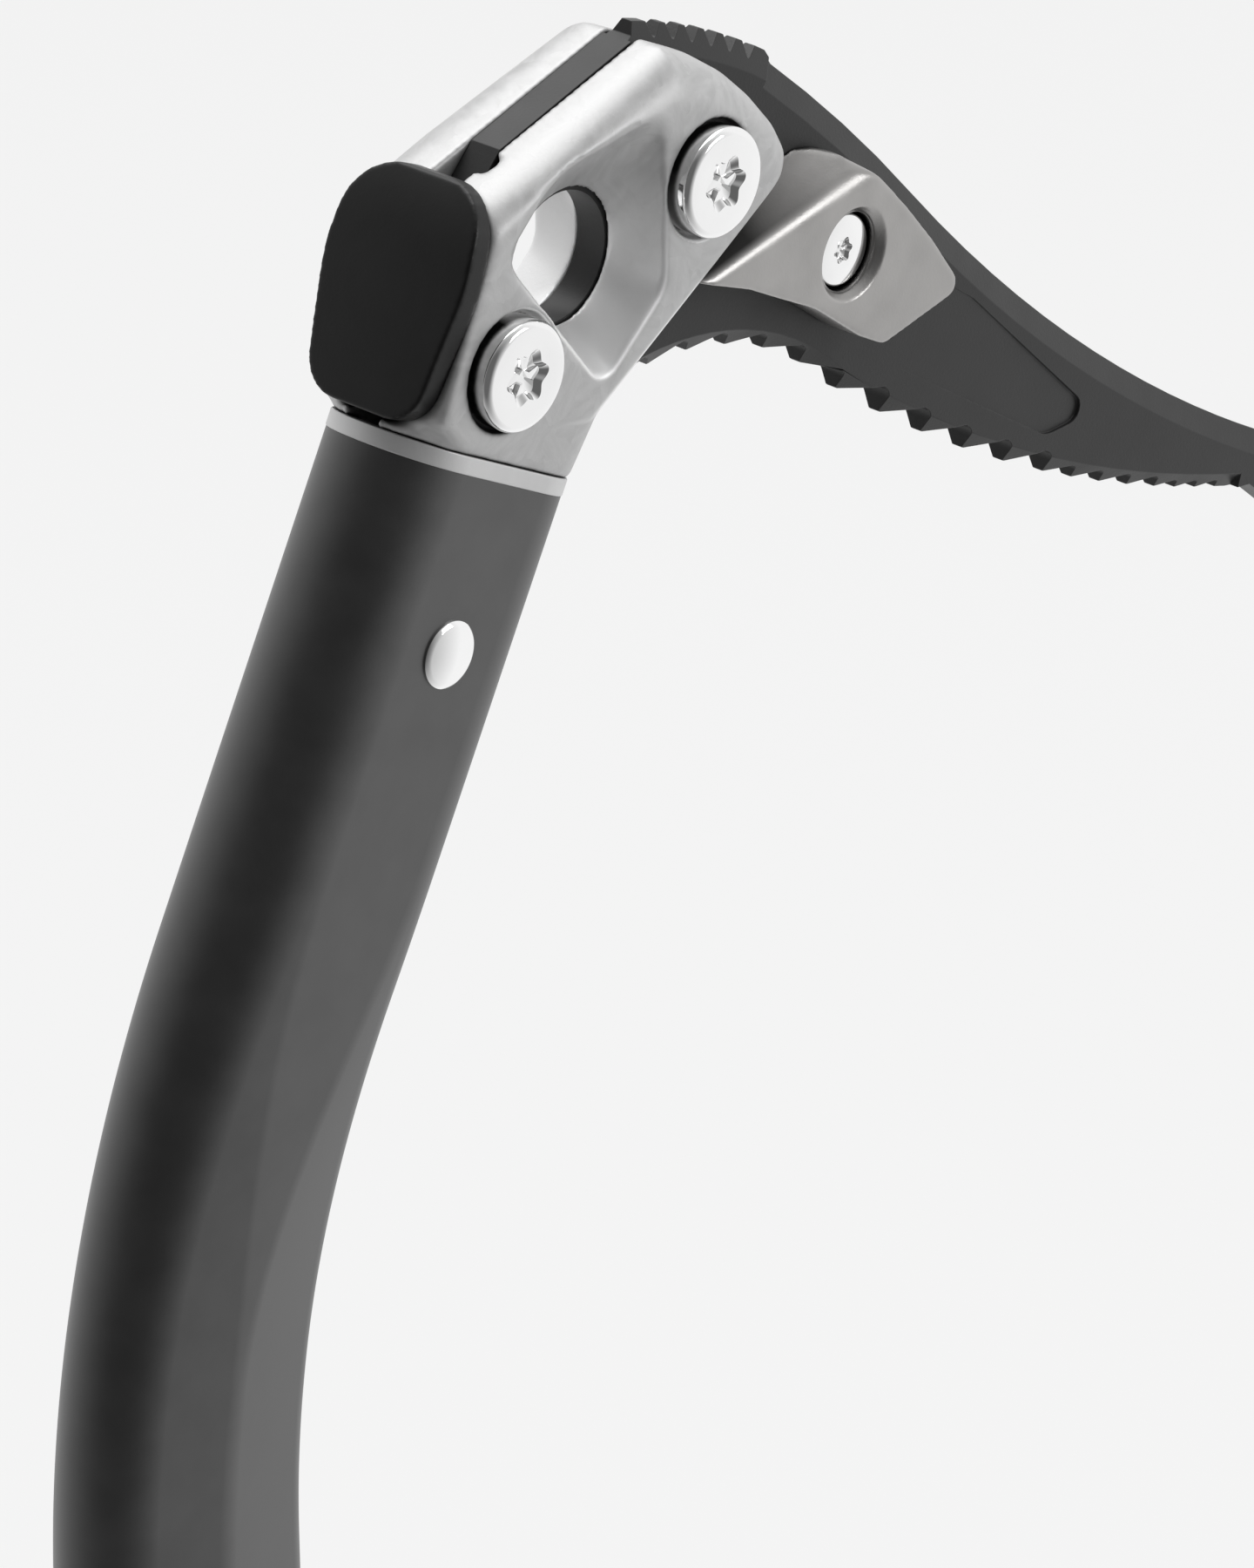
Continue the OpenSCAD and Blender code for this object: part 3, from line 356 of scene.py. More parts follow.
wear_group, given, result = new_group("edge_wear", {"Radius": 0.5 * MM, "Amount": 1.0}, ["Mask"])
surface = add_node(wear_group, "ShaderNodeNewGeometry")
averaged = add_node(wear_group, "ShaderNodeBevel", {"Radius": given.outputs["Radius"]}, samples=6)
agreement = add_node(wear_group, "ShaderNodeVectorMath", {
    0: averaged.outputs[0], 1: surface.outputs["Normal"],
}, operation="DOT_PRODUCT")
edge = ranged(wear_group, agreement.outputs["Value"], EDGE_STARTS, EDGE_FULL)
chips = noise(wear_group, object_place(wear_group), CHIP_SCALE, detail=4.0)
broken = ranged(wear_group, chips.outputs["Fac"], CHIP_LOW, CHIP_HIGH, LEAST_WEAR, 1.0)
worn = product(wear_group, product(wear_group, edge, broken), given.outputs["Amount"])
wear_group.links.new(worn, result.inputs["Mask"])
print("group:", wear_group.name)

# %% [markdown]
# This group tells how open a place is, from 0 deep in a gap to 1 in the open. The finishes use it to
# paint shade into gaps and recesses: painted shade. Ambient Occlusion measures that with short rays, so
# it also finds the gap between two pieces, which paint on one mesh would miss.

# %% Build the painted gap shade
GAP_SHUT = 0.25
GAP_OPEN = 0.9

gap_shade_group, given, result = new_group("gap_shade", {"Reach": 2 * MM}, ["Open"])
nearby = add_node(gap_shade_group, "ShaderNodeAmbientOcclusion", {
    "Distance": given.outputs["Reach"],
}, samples=8)
open_share = ranged(gap_shade_group, nearby.outputs["AO"], GAP_SHUT, GAP_OPEN)
gap_shade_group.links.new(open_share, result.inputs["Open"])
print("group:", gap_shade_group.name)

# %% [markdown]
# ## Finishes
# Bare and anodised metal is a Principled shader with Metallic at 1, where the base colour is what the
# metal reflects. The blasted head and collar scatter light as well, so theirs is about a half. Paint,
# rubber and plastic are not metallic. One function makes all of them: it takes two shades for the colour
# and two values for the roughness, and lets a pattern choose between them over the surface.

# %% Helpers for finishes
PATTERN_LOW = 0.3
PATTERN_HIGH = 0.7
BUMP_DEPTH = 0.2 * MM


def use_group(tree, group, values):
    """Place a node group in a material and set its inputs by name."""
    return add_node(tree, "ShaderNodeGroup", values, node_tree=group)


def make_finish(name, shades, roughness, metallic, grain_scale, bump, specular=0.5, warm=0.0, spangle=None,
                wear=None, gap_shade=None):
    """A finish with two shades, two roughness values, a fine grain and, if asked, the other effects."""
    material = bpy.data.materials.new(name)
    material.use_nodes = True
    tree = material.node_tree
    shader = tree.nodes["Principled BSDF"]
    shader.inputs["Metallic"].default_value = metallic
    shader.inputs["Specular IOR Level"].default_value = specular
    grain = use_group(tree, grain_group, {"Scale": grain_scale})
    pattern = grain.outputs["Patches"]
    if spangle:
        pattern = use_group(tree, spangle_group, {"Cell scale": spangle}).outputs["Mask"]
    blend = ranged(tree, pattern, PATTERN_LOW, PATTERN_HIGH)
    colour = mixed_colour(tree, blend, grey(shades[0], warm), grey(shades[1], warm))
    if wear:
        worn_shade, radius, amount = wear
        mask = use_group(tree, wear_group, {"Radius": radius * MM, "Amount": amount}).outputs["Mask"]
        colour = mixed_colour(tree, mask, colour, grey(worn_shade, warm))
    # painted shade: where ambient occlusion finds a gap, the colour turns to a darker grey
    if gap_shade:
        gap_grey, reach = gap_shade
        open_share = use_group(tree, gap_shade_group, {"Reach": reach * MM}).outputs["Open"]
        colour = mixed_colour(tree, open_share, grey(gap_grey, warm), colour)
    tree.links.new(colour, shader.inputs["Base Color"])
    rough = ranged(tree, pattern, PATTERN_LOW, PATTERN_HIGH, *roughness)
    tree.links.new(rough, shader.inputs["Roughness"])
    relief = add_node(tree, "ShaderNodeBump", {
        "Height": grain.outputs["Height"], "Strength": bump, "Distance": BUMP_DEPTH,
    })
    tree.links.new(relief.outputs["Normal"], shader.inputs["Normal"])
    return material


print("finish helpers ready")

# %% [markdown]
# Each finish is a row of settings, so that they are easy to compare. Shades are linear greys. `wear`
# holds the worn shade, the edge's radius in mm and the amount. The setting for gaps holds the grey of the
# painted shade there and how far it reaches, in mm.

# %% Make the finishes
FINISH_SETTINGS = {
    "head_alloy": dict(shades=(0.5, 0.6), roughness=(0.42, 0.52), metallic=0.5, grain_scale=2600, bump=0.1,
                       spangle=240, gap_shade=(0.01, 1.4)),
    "collar_alloy": dict(shades=(0.66, 0.72), roughness=(0.44, 0.5), metallic=0.6, grain_scale=3000,
                         bump=0.05),
    "shaft_anodised": dict(shades=(0.125, 0.14), roughness=(0.4, 0.44), metallic=1.0, grain_scale=3200,
                           bump=0.03),
    "pick_steel": dict(shades=(0.016, 0.021), roughness=(0.38, 0.46), metallic=0.0, grain_scale=2800,
                       bump=0.1, specular=0.38, wear=(0.06, 0.4, 0.5)),
    "hammer_black": dict(shades=(0.004, 0.006), roughness=(0.36, 0.44), metallic=0.0, grain_scale=2600,
                         bump=0.06, specular=0.35, wear=(0.03, 0.6, 0.5)),
    "weight_steel": dict(shades=(0.36, 0.42), roughness=(0.28, 0.36), metallic=1.0, grain_scale=2800,
                         bump=0.1, warm=0.02, wear=(0.6, 0.8, 0.4), gap_shade=(0.03, 1.4)),
    "polished_steel": dict(shades=(0.93, 0.97), roughness=(0.05, 0.08), metallic=1.0, grain_scale=2400,
                           bump=0.0),
    "plain_steel": dict(shades=(0.5, 0.6), roughness=(0.28, 0.36), metallic=1.0, grain_scale=2600, bump=0.06),
    "grip_rubber": dict(shades=(0.016, 0.022), roughness=(0.7, 0.82), metallic=0.0, grain_scale=2200,
                        bump=0.25),
    "rest_plastic": dict(shades=(0.02, 0.026), roughness=(0.48, 0.58), metallic=0.0, grain_scale=2600,
                         bump=0.2, wear=(0.06, 0.6, 0.5)),
}
finishes = {name: make_finish(name, **settings) for name, settings in FINISH_SETTINGS.items()}
print("finishes:", sorted(finishes))

# %% [markdown]
# Two finishes change with the place. The lower walls of the head's windows are painted brighter than
# the lamps make them: painted light. The weights' sloped backs are painted darker next to the head:
# painted shade. Each is a mask of a few factors: where the point lies, from the Object coordinates, and
# which way its surface faces. A painted picture could hold the same masks, but it would need a UV map.

# %% Paint light on the windows and shade on the weights
# painted light: the grey and the heights of the brighter lower window walls
PAINTED_LIGHT_GREY = 0.95
WINDOW_R = 14.8 * MM
WINDOW_FADE = 1.5 * MM
PAINTED_LIGHT_FULL = -4 * MM
PAINTED_LIGHT_END = 9 * MM
WALL_TURNED = 0.9
CHEEK_TURNED = 0.98
# painted shade: the grey, warmth and reach of the darker sloped backs next to the head
PAINTED_SHADE_GREY = 0.03
PAINTED_SHADE_WARM = 0.02
PAINTED_SHADE_FULL = 25 * MM
PAINTED_SHADE_END = 46 * MM
SLOPE_STARTS = 0.55
SLOPE_FULL = 0.8


def low_in_window(tree, place, normal):
    """Factors for the painted light: lower window walls, near the hole, low down and not facing sideways."""
    flat_place = add_node(tree, "ShaderNodeVectorMath", {0: place, 1: (1.0, 0.0, 1.0)}, operation="MULTIPLY")
    reach = add_node(tree, "ShaderNodeVectorMath", {0: flat_place.outputs[0]}, operation="LENGTH")
    sideways = add_node(tree, "ShaderNodeMath", {0: along(tree, normal, "Y")}, operation="ABSOLUTE")
    return (ranged(tree, reach.outputs["Value"], WINDOW_R, WINDOW_R + WINDOW_FADE, 1.0, 0.0),
            ranged(tree, along(tree, place, "Z"), PAINTED_LIGHT_FULL, PAINTED_LIGHT_END, 1.0, 0.0),
            ranged(tree, sideways.outputs[0], WALL_TURNED, CHEEK_TURNED, 1.0, 0.0))


def on_sloped_back(tree, place, normal):
    """Factors for the painted shade on the weights' sloped backs: near the head and facing up."""
    return (ranged(tree, along(tree, place, "X"), PAINTED_SHADE_FULL, PAINTED_SHADE_END, 1.0, 0.0),
            ranged(tree, along(tree, normal, "Z"), SLOPE_STARTS, SLOPE_FULL))


def repaint(material, factors_of, new_colour):
    """Mix a new colour over a finish where all factors, made from place and normal, are 1."""
    tree = material.node_tree
    colour_socket = tree.nodes["Principled BSDF"].inputs["Base Color"]
    old_colour = colour_socket.links[0].from_socket
    normal = add_node(tree, "ShaderNodeNewGeometry").outputs["Normal"]
    mask, *others = factors_of(tree, object_place(tree), normal)
    for factor in others:
        mask = product(tree, mask, factor)
    tree.links.new(mixed_colour(tree, mask, old_colour, new_colour), colour_socket)


# painted light: the lower window walls get a brighter grey than the lamps give them
repaint(finishes["head_alloy"], low_in_window, grey(PAINTED_LIGHT_GREY))
# painted shade: the weights' sloped backs get a darker grey next to the head
repaint(finishes["weight_steel"], on_sloped_back, grey(PAINTED_SHADE_GREY, PAINTED_SHADE_WARM))
slot_of = {row["node"]: row["material_slot"] for row in frame["record"]["subparts"]}
for node, solid in frame["nodes"].items():
    solid.data.materials.clear()
    solid.data.materials.append(finishes[slot_of[node]])
print("finishes given to", len(frame["nodes"]), "solids")

# %% [markdown]
# ## Pieces from the solids
# A solid's mesh is loose triangles with hard edges. A copy of it is merged first, so that it is one
# closed shape. Forged, cast and moulded pieces then get an even skin from a voxel remesh, and a few
# passes of smoothing round their edges, as forging and tumbling do. The remesh could stay a live
# modifier, but once it is baked the smoothing can leave chosen places crisp. Machined pieces keep
# their flat faces, and their edges get a narrow bevel instead.

# %% Helpers for meshes
MERGE_WITHIN = 0.002
FLAT_WITHIN = math.radians(0.2)


def copied(node):
    """A merged copy of a solid's mesh."""
    bm = bmesh.new()
    bm.from_mesh(frame["nodes"][node].data)
    bmesh.ops.remove_doubles(bm, verts=bm.verts, dist=MERGE_WITHIN * MM)
    return bm


def with_modifiers(bm, *settings):
    """Bake modifiers into a bmesh; each setting is a modifier's type and its options."""
    mesh = bpy.data.meshes.new("blank")
    bm.to_mesh(mesh)
    bm.free()
    blank = bpy.data.objects.new("blank", mesh)
    scene.collection.objects.link(blank)
    for kind, options in settings:
        modifier = blank.modifiers.new(kind.lower(), kind)
        for option, value in options.items():
            setattr(modifier, option, value)
    result = bmesh.new()
    result.from_object(blank, bpy.context.evaluated_depsgraph_get())
    bpy.data.objects.remove(blank)
    bpy.data.meshes.remove(mesh)
    return result


def even_skin(bm, voxel):
    """The shape as an even skin of small faces; the voxel's size is in mm."""
    return with_modifiers(bm, ("REMESH", {"mode": "VOXEL", "voxel_size": voxel * MM}))


def soften(bm, passes, crisp=None):
    """Smooth a skin, apart from the places that crisp(point in mm) names."""
    soft = [vert for vert in bm.verts if not (crisp and crisp(vert.co / MM))]
    for _ in range(passes):
        bmesh.ops.smooth_vert(bm, verts=soft, factor=0.5, use_axis_x=True, use_axis_y=True, use_axis_z=True)


def bevelled(bm, width, segments, low=18, high=180):
    """Bevel by a width in mm the edges that turn by an angle between low and high degrees."""
    bmesh.ops.dissolve_limit(bm, angle_limit=FLAT_WITHIN, verts=bm.verts, edges=bm.edges)
    edges = [edge for edge in bm.edges
             if edge.is_manifold and low < math.degrees(edge.calc_face_angle()) < high]
    bmesh.ops.bevel(bm, geom=edges, offset=width * MM, offset_type="OFFSET", segments=segments, profile=0.5,
                    affect="EDGES", clamp_overlap=False, material=-1)


def of_kind(items, kind):
    """The vertices or the edges in a mixed list of mesh parts."""
    return [item for item in items if isinstance(item, kind)]


print("mesh helpers ready")

# %% [markdown]
# A finished mesh becomes a piece: it gets its finish, moves with the body of its solid and takes the
# solid's place. Edges that turn by more than an angle stay sharp. Where large flat faces meet narrow
# bevels, a Weighted Normal modifier lets the large faces set the shading. Custom normals would do the
# same, but the modifier works them out by itself.


# %% Helpers for pieces
def as_piece(node, bm, sharp=30):
    """Make the mesh a piece that stands for the solid and moves with its body."""
    mesh = bpy.data.meshes.new(node + "_skin")
    bm.to_mesh(mesh)
    bm.free()
    mesh.shade_smooth()
    mesh.set_sharp_from_angle(angle=math.radians(sharp))
    mesh.materials.append(finishes[slot_of[node]])
    piece = bpy.data.objects.new(node + "_skin", mesh)
    scene.collection.objects.link(piece)
    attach(piece, frame["nodes"][node]["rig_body"])
    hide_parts(node)
    return piece


def flat_faces(piece):
    """Let the large faces set the normals, so that they shade flat up to their bevels."""
    normals = piece.modifiers.new("flat_faces", "WEIGHTED_NORMAL")
    normals.keep_sharp = True


print("piece helpers ready")

# %% [markdown]
# ## Head
# The head is forged and blasted, so its outer edges are round. The slot for the pick and the seats of
# the bolts are cut afterwards on the real head, so those edges stay crisp: the long smoothing leaves
# them out. A bevel on each edge would be another way, but it fails where many short edges meet. The tang
# is hidden in the shaft and would only cost triangles, so the copy is cut off inside the collar before
# the remesh.

# %% Make the head
SHAFT_LEAN = math.radians(28.6)
COLLAR_TOP = (-14.7, -16.9)
CUT_BELOW = 1
TOUCHING = 0.001
PICK_BOLTS_AT = ((15.7, 6.0), (-15.2, -5.7))
SEAT_RIM = 7.3
SEAT_FROM = 4
SLOT_RIM = 2.7
HEAD_VOXEL = 0.33
SKIN_PASSES = 2
FORGED_PASSES = 9
down_shaft = Vector((-math.sin(SHAFT_LEAN), 0, -math.cos(SHAFT_LEAN)))
collar_top = Vector((COLLAR_TOP[0], 0, COLLAR_TOP[1])) * MM


def cut_after_forging(point):
    """The slot's edges, the bolt seats and the nut pockets."""
    in_seat = any(math.hypot(point.x - x, point.z - z) < SEAT_RIM for x, z in PICK_BOLTS_AT)
    return abs(point.y) < SLOT_RIM or (in_seat and abs(point.y) > SEAT_FROM)


bm = copied("head")
cut = bmesh.ops.bisect_plane(bm, geom=bm.verts[:] + bm.edges[:] + bm.faces[:], dist=TOUCHING * MM,
                             plane_co=collar_top + down_shaft * CUT_BELOW * MM, plane_no=down_shaft,
                             clear_outer=True)
bmesh.ops.holes_fill(bm, edges=of_kind(cut["geom_cut"], bmesh.types.BMEdge), sides=0)
bm = even_skin(bm, HEAD_VOXEL)
soften(bm, SKIN_PASSES)
soften(bm, FORGED_PASSES, cut_after_forging)
head = as_piece("head", bm, sharp=60)
print("head skin:", len(head.data.polygons), "faces")

# %% [markdown]
# ## Hammer
# The hammer plate is a small forging, painted black. Its rim is well rounded, and its face falls away
# towards the top. A lattice could bend it, but the fall is a plain vertex move, which is easy to set:
# each point above a line sinks by the square of its height over it.

# %% Make the hammer
HAMMER_LEAN = math.radians(24)
HAMMER_AT = Vector((-21.1, 0, 2.6)) * MM
HAMMER_VOXEL = 0.18
PLATE_FROM = 0.5 * MM
FALL_FROM = 5.5 * MM
FALL_TOP = 12.7 * MM
FALL = 1.3 * MM
hammer_out = Vector((-math.cos(HAMMER_LEAN), 0, math.sin(HAMMER_LEAN)))
hammer_up = Vector((math.sin(HAMMER_LEAN), 0, math.cos(HAMMER_LEAN)))

bm = even_skin(copied("hammer"), HAMMER_VOXEL)
for vert in bm.verts:
    height = (vert.co - HAMMER_AT).dot(hammer_up)
    depth = (vert.co - HAMMER_AT).dot(hammer_out)
    if height > FALL_FROM and depth > PLATE_FROM:
        vert.co -= hammer_out * FALL * ((height - FALL_FROM) / (FALL_TOP - FALL_FROM)) ** 2
soften(bm, FORGED_PASSES)
hammer = as_piece("hammer", bm, sharp=60)
print("hammer skin:", len(hammer.data.polygons), "faces")

# %% [markdown]
# ## Weights
# Each weight is a sintered block. The ridge between its side and its sloped back is broad and round, so
# it is bevelled before the remesh: its edges are the only ones that turn by about 56 degrees. All other
# edges get the same small rounding from the smoothing, apart from the screw's recess, which is cut.
# More smoothing alone would round the ridge too, but it would also wash out the other edges.

# %% Make the weights
SCREW_AT = (41.4, -11.6)
RECESS_RIM = 6.3
RIDGE_BEVEL = 1.5
WEIGHT_VOXEL = 0.2
SINTERED_PASSES = 16


def in_recess(point):
    """Round the screw, where the recess has crisp edges."""
    return math.hypot(point.x - SCREW_AT[0], point.z - SCREW_AT[1]) < RECESS_RIM


for node in ("near_weight", "far_weight"):
    bm = copied(node)
    bevelled(bm, RIDGE_BEVEL, segments=6, low=48, high=64)
    bm = even_skin(bm, WEIGHT_VOXEL)
    soften(bm, SKIN_PASSES)
    soften(bm, SINTERED_PASSES, in_recess)
    print("skin for", as_piece(node, bm, sharp=60).name)

# %% [markdown]
# ## Pick
# The pick is cut from sheet steel and ground, so its faces are flat and its edges fine. A bevel of a
# tenth of a millimetre is enough to catch the light. A remesh would blur the teeth, so there is none.

# %% Make the pick
PICK_BEVEL = 0.1

bm = copied("pick")
bevelled(bm, PICK_BEVEL, segments=2)
pick = as_piece("pick", bm, sharp=40)
flat_faces(pick)
print("pick:", len(pick.data.polygons), "faces")

# %% [markdown]
# ## Shaft
# The shaft is a drawn and bent tube. Its solid has few facets, which would show as faint lines in the
# gloss, so the tube is made again with a finer division: a ring of points at each station, bridged to
# the ring before it. A curve with a bevel profile makes tubes too, but its section can only grow or
# shrink along the way. The section is given by the direction that its surface faces. At the top it has
# half round ends, and below the bend a front nose, a back nose and a ridge on each side.

# %% Work out the shaft's section
SHAFT_DEEP = 30.8
SHAFT_WIDE = 17.3
HALF_FLAT = (SHAFT_DEEP - SHAFT_WIDE) / 2
FRONT_NOSE = 0.31 * SHAFT_WIDE
FRONT_X = 10.89
BACK_NOSE = 0.42 * SHAFT_WIDE
BACK_X = -8.85
RIDGE = 0.4 * SHAFT_WIDE
FRONT_TILT = 75
BACK_TILT = 99.6
NOSE_POINTS = 26
RIDGE_POINTS = 12
BACK_POINTS = 30


def facing(angle):
    """Unit vector in the section's plane, X to the front and Y across."""
    return Vector((math.cos(math.radians(angle)), math.sin(math.radians(angle))))


def ridge_middle():
    """Middle of the ridge's arc, which touches the facets that leave the two noses."""
    front, back = facing(FRONT_TILT), facing(BACK_TILT)
    front_reach = FRONT_NOSE - RIDGE + FRONT_X * front.x
    back_reach = BACK_NOSE - RIDGE + BACK_X * back.x
    crossing = Vector((front_reach * back.y - back_reach * front.y,
                       back_reach * front.x - front_reach * back.x))
    return crossing / math.sin(math.radians(BACK_TILT - FRONT_TILT))


def section_point(angle, facets):
    """Point of the section in mm; facets runs from 0, half round ends, to 1, faceted."""
    out = facing(angle)
    half_round = Vector((math.copysign(HALF_FLAT, out.x), 0)) + out * SHAFT_WIDE / 2
    if abs(angle) < FRONT_TILT:
        middle, radius = Vector((FRONT_X, 0)), FRONT_NOSE
    elif abs(angle) < BACK_TILT:
        middle, radius = ridge_middle(), RIDGE
        middle.y = math.copysign(middle.y, angle)
    else:
        middle, radius = Vector((BACK_X, 0)), BACK_NOSE
    return half_round.lerp(middle + out * radius, facets)


def angles_between(first, last, count):
    """Evenly spaced angles in the middles of a range's shares."""
    return [first + (last - first) * (k + 0.5) / count for k in range(count)]


half_turn = (angles_between(0, FRONT_TILT, NOSE_POINTS) + angles_between(FRONT_TILT, BACK_TILT, RIDGE_POINTS)
             + angles_between(BACK_TILT, 180, BACK_POINTS))
ring_angles = half_turn + [-angle for angle in reversed(half_turn)]
print("points in a ring:", len(ring_angles))

# %% [markdown]
# The tube's middle line is straight, bends forward by 28.6 degrees, runs straight down, bends forward by
# another 22 degrees, and ends as the handle. Each station is a point, a lean and the share of the
# faceted form. They could be read off a curve object, but two arcs and three lines are exact and short
# to write.

# %% Lay out the stations
COLLAR_THICK = 2
UPPER_LEN = 55.6
UPPER_STEPS = 24
BEND_R = 146
BEND_STEPS = 40
MIDDLE_LEN = 88.02
GRIP_BEND_R = 110
GRIP_BEND_STEPS = 24
GRIP_LEAN = math.radians(22)
HANDLE_LEN = 174
FACETS_FROM = 42
FACETS_RUN = 60


def front_of(lean):
    """Direction across the tube to its front, in the mid plane."""
    return Vector((math.cos(lean), -math.sin(lean)))


def down_of(lean):
    """Direction down the tube, in the mid plane."""
    return Vector((-math.sin(lean), -math.cos(lean)))


def eased(share):
    """A share from 0 to 1 with a soft start and end."""
    share = min(max(share, 0), 1)
    return share * share * (3 - 2 * share)


def faceted(drop):
    """Share of the faceted form at a drop in mm from the shaft's top."""
    return eased((drop - FACETS_FROM) / FACETS_RUN)


stations = []
shaft_top = Vector(COLLAR_TOP) + down_of(SHAFT_LEAN) * COLLAR_THICK
for k in range(UPPER_STEPS):
    drop = UPPER_LEN * k / UPPER_STEPS
    stations.append((shaft_top + down_of(SHAFT_LEAN) * drop, SHAFT_LEAN, faceted(drop)))
bend_middle = shaft_top + down_of(SHAFT_LEAN) * UPPER_LEN + front_of(SHAFT_LEAN) * BEND_R
for k in range(BEND_STEPS + 1):
    lean = SHAFT_LEAN * (1 - k / BEND_STEPS)
    drop = UPPER_LEN + BEND_R * (SHAFT_LEAN - lean)
    stations.append((bend_middle - front_of(lean) * BEND_R, lean, faceted(drop)))
grip_bend_start = stations[-1][0] + down_of(0) * MIDDLE_LEN
grip_bend_middle = grip_bend_start + front_of(0) * GRIP_BEND_R
for k in range(GRIP_BEND_STEPS + 1):
    lean = -GRIP_LEAN * k / GRIP_BEND_STEPS
    stations.append((grip_bend_middle - front_of(lean) * GRIP_BEND_R, lean, 1 - eased(k / GRIP_BEND_STEPS)))
handle_top = stations[-1][0]
stations.append((handle_top + down_of(-GRIP_LEAN) * HANDLE_LEN, -GRIP_LEAN, 0))
print("stations:", len(stations), "handle top", [round(v, 2) for v in handle_top])

# %% [markdown]
# The rings are joined to a skin, a Solidify modifier gives it the wall, and a Boolean cuts the long slot
# that the hand rest's bolt slides in. Both are baked, so that the piece is one plain mesh. Holes cut by
# hand in the rings would need matching points, and the Boolean does not.

# %% Join the rings and cut the slot
SHAFT_WALL = 2.0
CLAMP_DROP = 128
SLOT_RUN = 14
SLOT_R = 2.6
CUTTER_LEN = 40
CUTTER_POINTS = 48
handle_down = Vector((math.sin(GRIP_LEAN), 0, -math.cos(GRIP_LEAN)))
handle_start = Vector((handle_top.x, 0, handle_top.y))


def on_handle(drop):
    """Point on the handle's axis, in mm, at a drop from its top."""
    return handle_start + handle_down * drop


def slot_cutter():
    """A bar with round ends across the handle, as an object."""
    bm = bmesh.new()
    circle = bmesh.ops.create_circle(bm, cap_ends=True, segments=CUTTER_POINTS, radius=SLOT_R * MM)["verts"]
    lower = [vert for vert in circle if vert.co.x > 0]
    bmesh.ops.translate(bm, verts=lower, vec=(SLOT_RUN * MM, 0, 0))
    sides = bmesh.ops.extrude_face_region(bm, geom=bm.faces[:])["geom"]
    bmesh.ops.translate(bm, verts=of_kind(sides, bmesh.types.BMVert), vec=(0, 0, CUTTER_LEN * MM))
    bmesh.ops.recalc_face_normals(bm, faces=bm.faces)
    across = Vector((0, 1, 0))
    turn = Matrix((handle_down, across.cross(handle_down), across)).transposed().to_4x4()
    place = Matrix.Translation(on_handle(CLAMP_DROP) * MM - across * CUTTER_LEN / 2 * MM)
    bmesh.ops.transform(bm, matrix=place @ turn, verts=bm.verts)
    mesh = bpy.data.meshes.new("slot_cutter")
    bm.to_mesh(mesh)
    bm.free()
    cutter = bpy.data.objects.new("slot_cutter", mesh)
    scene.collection.objects.link(cutter)
    return cutter


bm = bmesh.new()
last_ring = []
for middle, lean, facets in stations:
    ring = bmesh.ops.create_circle(bm, segments=len(ring_angles), radius=1)["verts"]
    for vert, angle in zip(ring, ring_angles):
        point = section_point(angle, facets)
        place = middle + front_of(lean) * point.x
        vert.co = Vector((place.x, point.y, place.y)) * MM
    ring_edges = list(dict.fromkeys(edge for vert in ring for edge in vert.link_edges))
    if last_ring:
        bmesh.ops.bridge_loops(bm, edges=last_ring + ring_edges)
    last_ring = ring_edges
bmesh.ops.recalc_face_normals(bm, faces=bm.faces)
cutter = slot_cutter()
bm = with_modifiers(bm, ("SOLIDIFY", {"thickness": SHAFT_WALL * MM, "offset": -1.0}),
                    ("BOOLEAN", {"operation": "DIFFERENCE", "object": cutter, "solver": "EXACT"}))
bpy.data.objects.remove(cutter)
shaft = as_piece("shaft", bm)
print("shaft:", len(shaft.data.polygons), "faces")

# %% [markdown]
# ## Bolts and screws
# A bolt is turned, so a profile is spun round its axis: shank, seat, side, rounded edge and face. The
# face stops at a circle round the key socket. That circle is extruded inwards and pulled into six lobes,
# and then down into tapered walls and a floor. A Boolean with a six-lobed bar would cut a socket too,
# but extruding keeps clean rows of faces. The floor's inner ring goes up and down by turns, which gives
# the pressed socket its uneven glints.

# %% Helpers for turned pieces
TURNED_STEPS = 96
EDGE_STEPS = 6
SAME_HEIGHT = 0.01
TIP_R = 0.05
FACE_STOP = 1.2
LOBES = 6
LOBE_MEAN, LOBE_SWING = 0.88, 0.12
WALL_DROP, WALL_SCALE = 0.2, 0.76
FLOOR_DROP, FLOOR_SCALE = 0.05, 0.4
FLOOR_WAVES, FLOOR_TURN, FLOOR_SWING = 4, 0.6, 0.07


def spun(bm, profile):
    """Spin a profile of (radius, height) points in mm round Z."""
    verts = [bm.verts.new((radius * MM, 0, height * MM)) for radius, height in profile]
    edges = [bm.edges.new(pair) for pair in zip(verts, verts[1:])]
    bmesh.ops.spin(bm, geom=verts + edges, axis=(0, 0, 1), cent=(0, 0, 0), angle=math.tau,
                   steps=TURNED_STEPS, use_merge=True)


def rounded_edge(radius, height, edge):
    """Profile points of a quarter round between a side and a face."""
    turns = [math.radians(90 * k / EDGE_STEPS) for k in range(EDGE_STEPS + 1)]
    return [(radius - edge + edge * math.cos(turn), height - edge + edge * math.sin(turn)) for turn in turns]


def open_edges_near(bm, height):
    """Open edges of the mesh at a height in mm."""
    return [edge for edge in bm.edges if edge.is_boundary
            and all(abs(vert.co.z / MM - height) < SAME_HEIGHT for vert in edge.verts)]


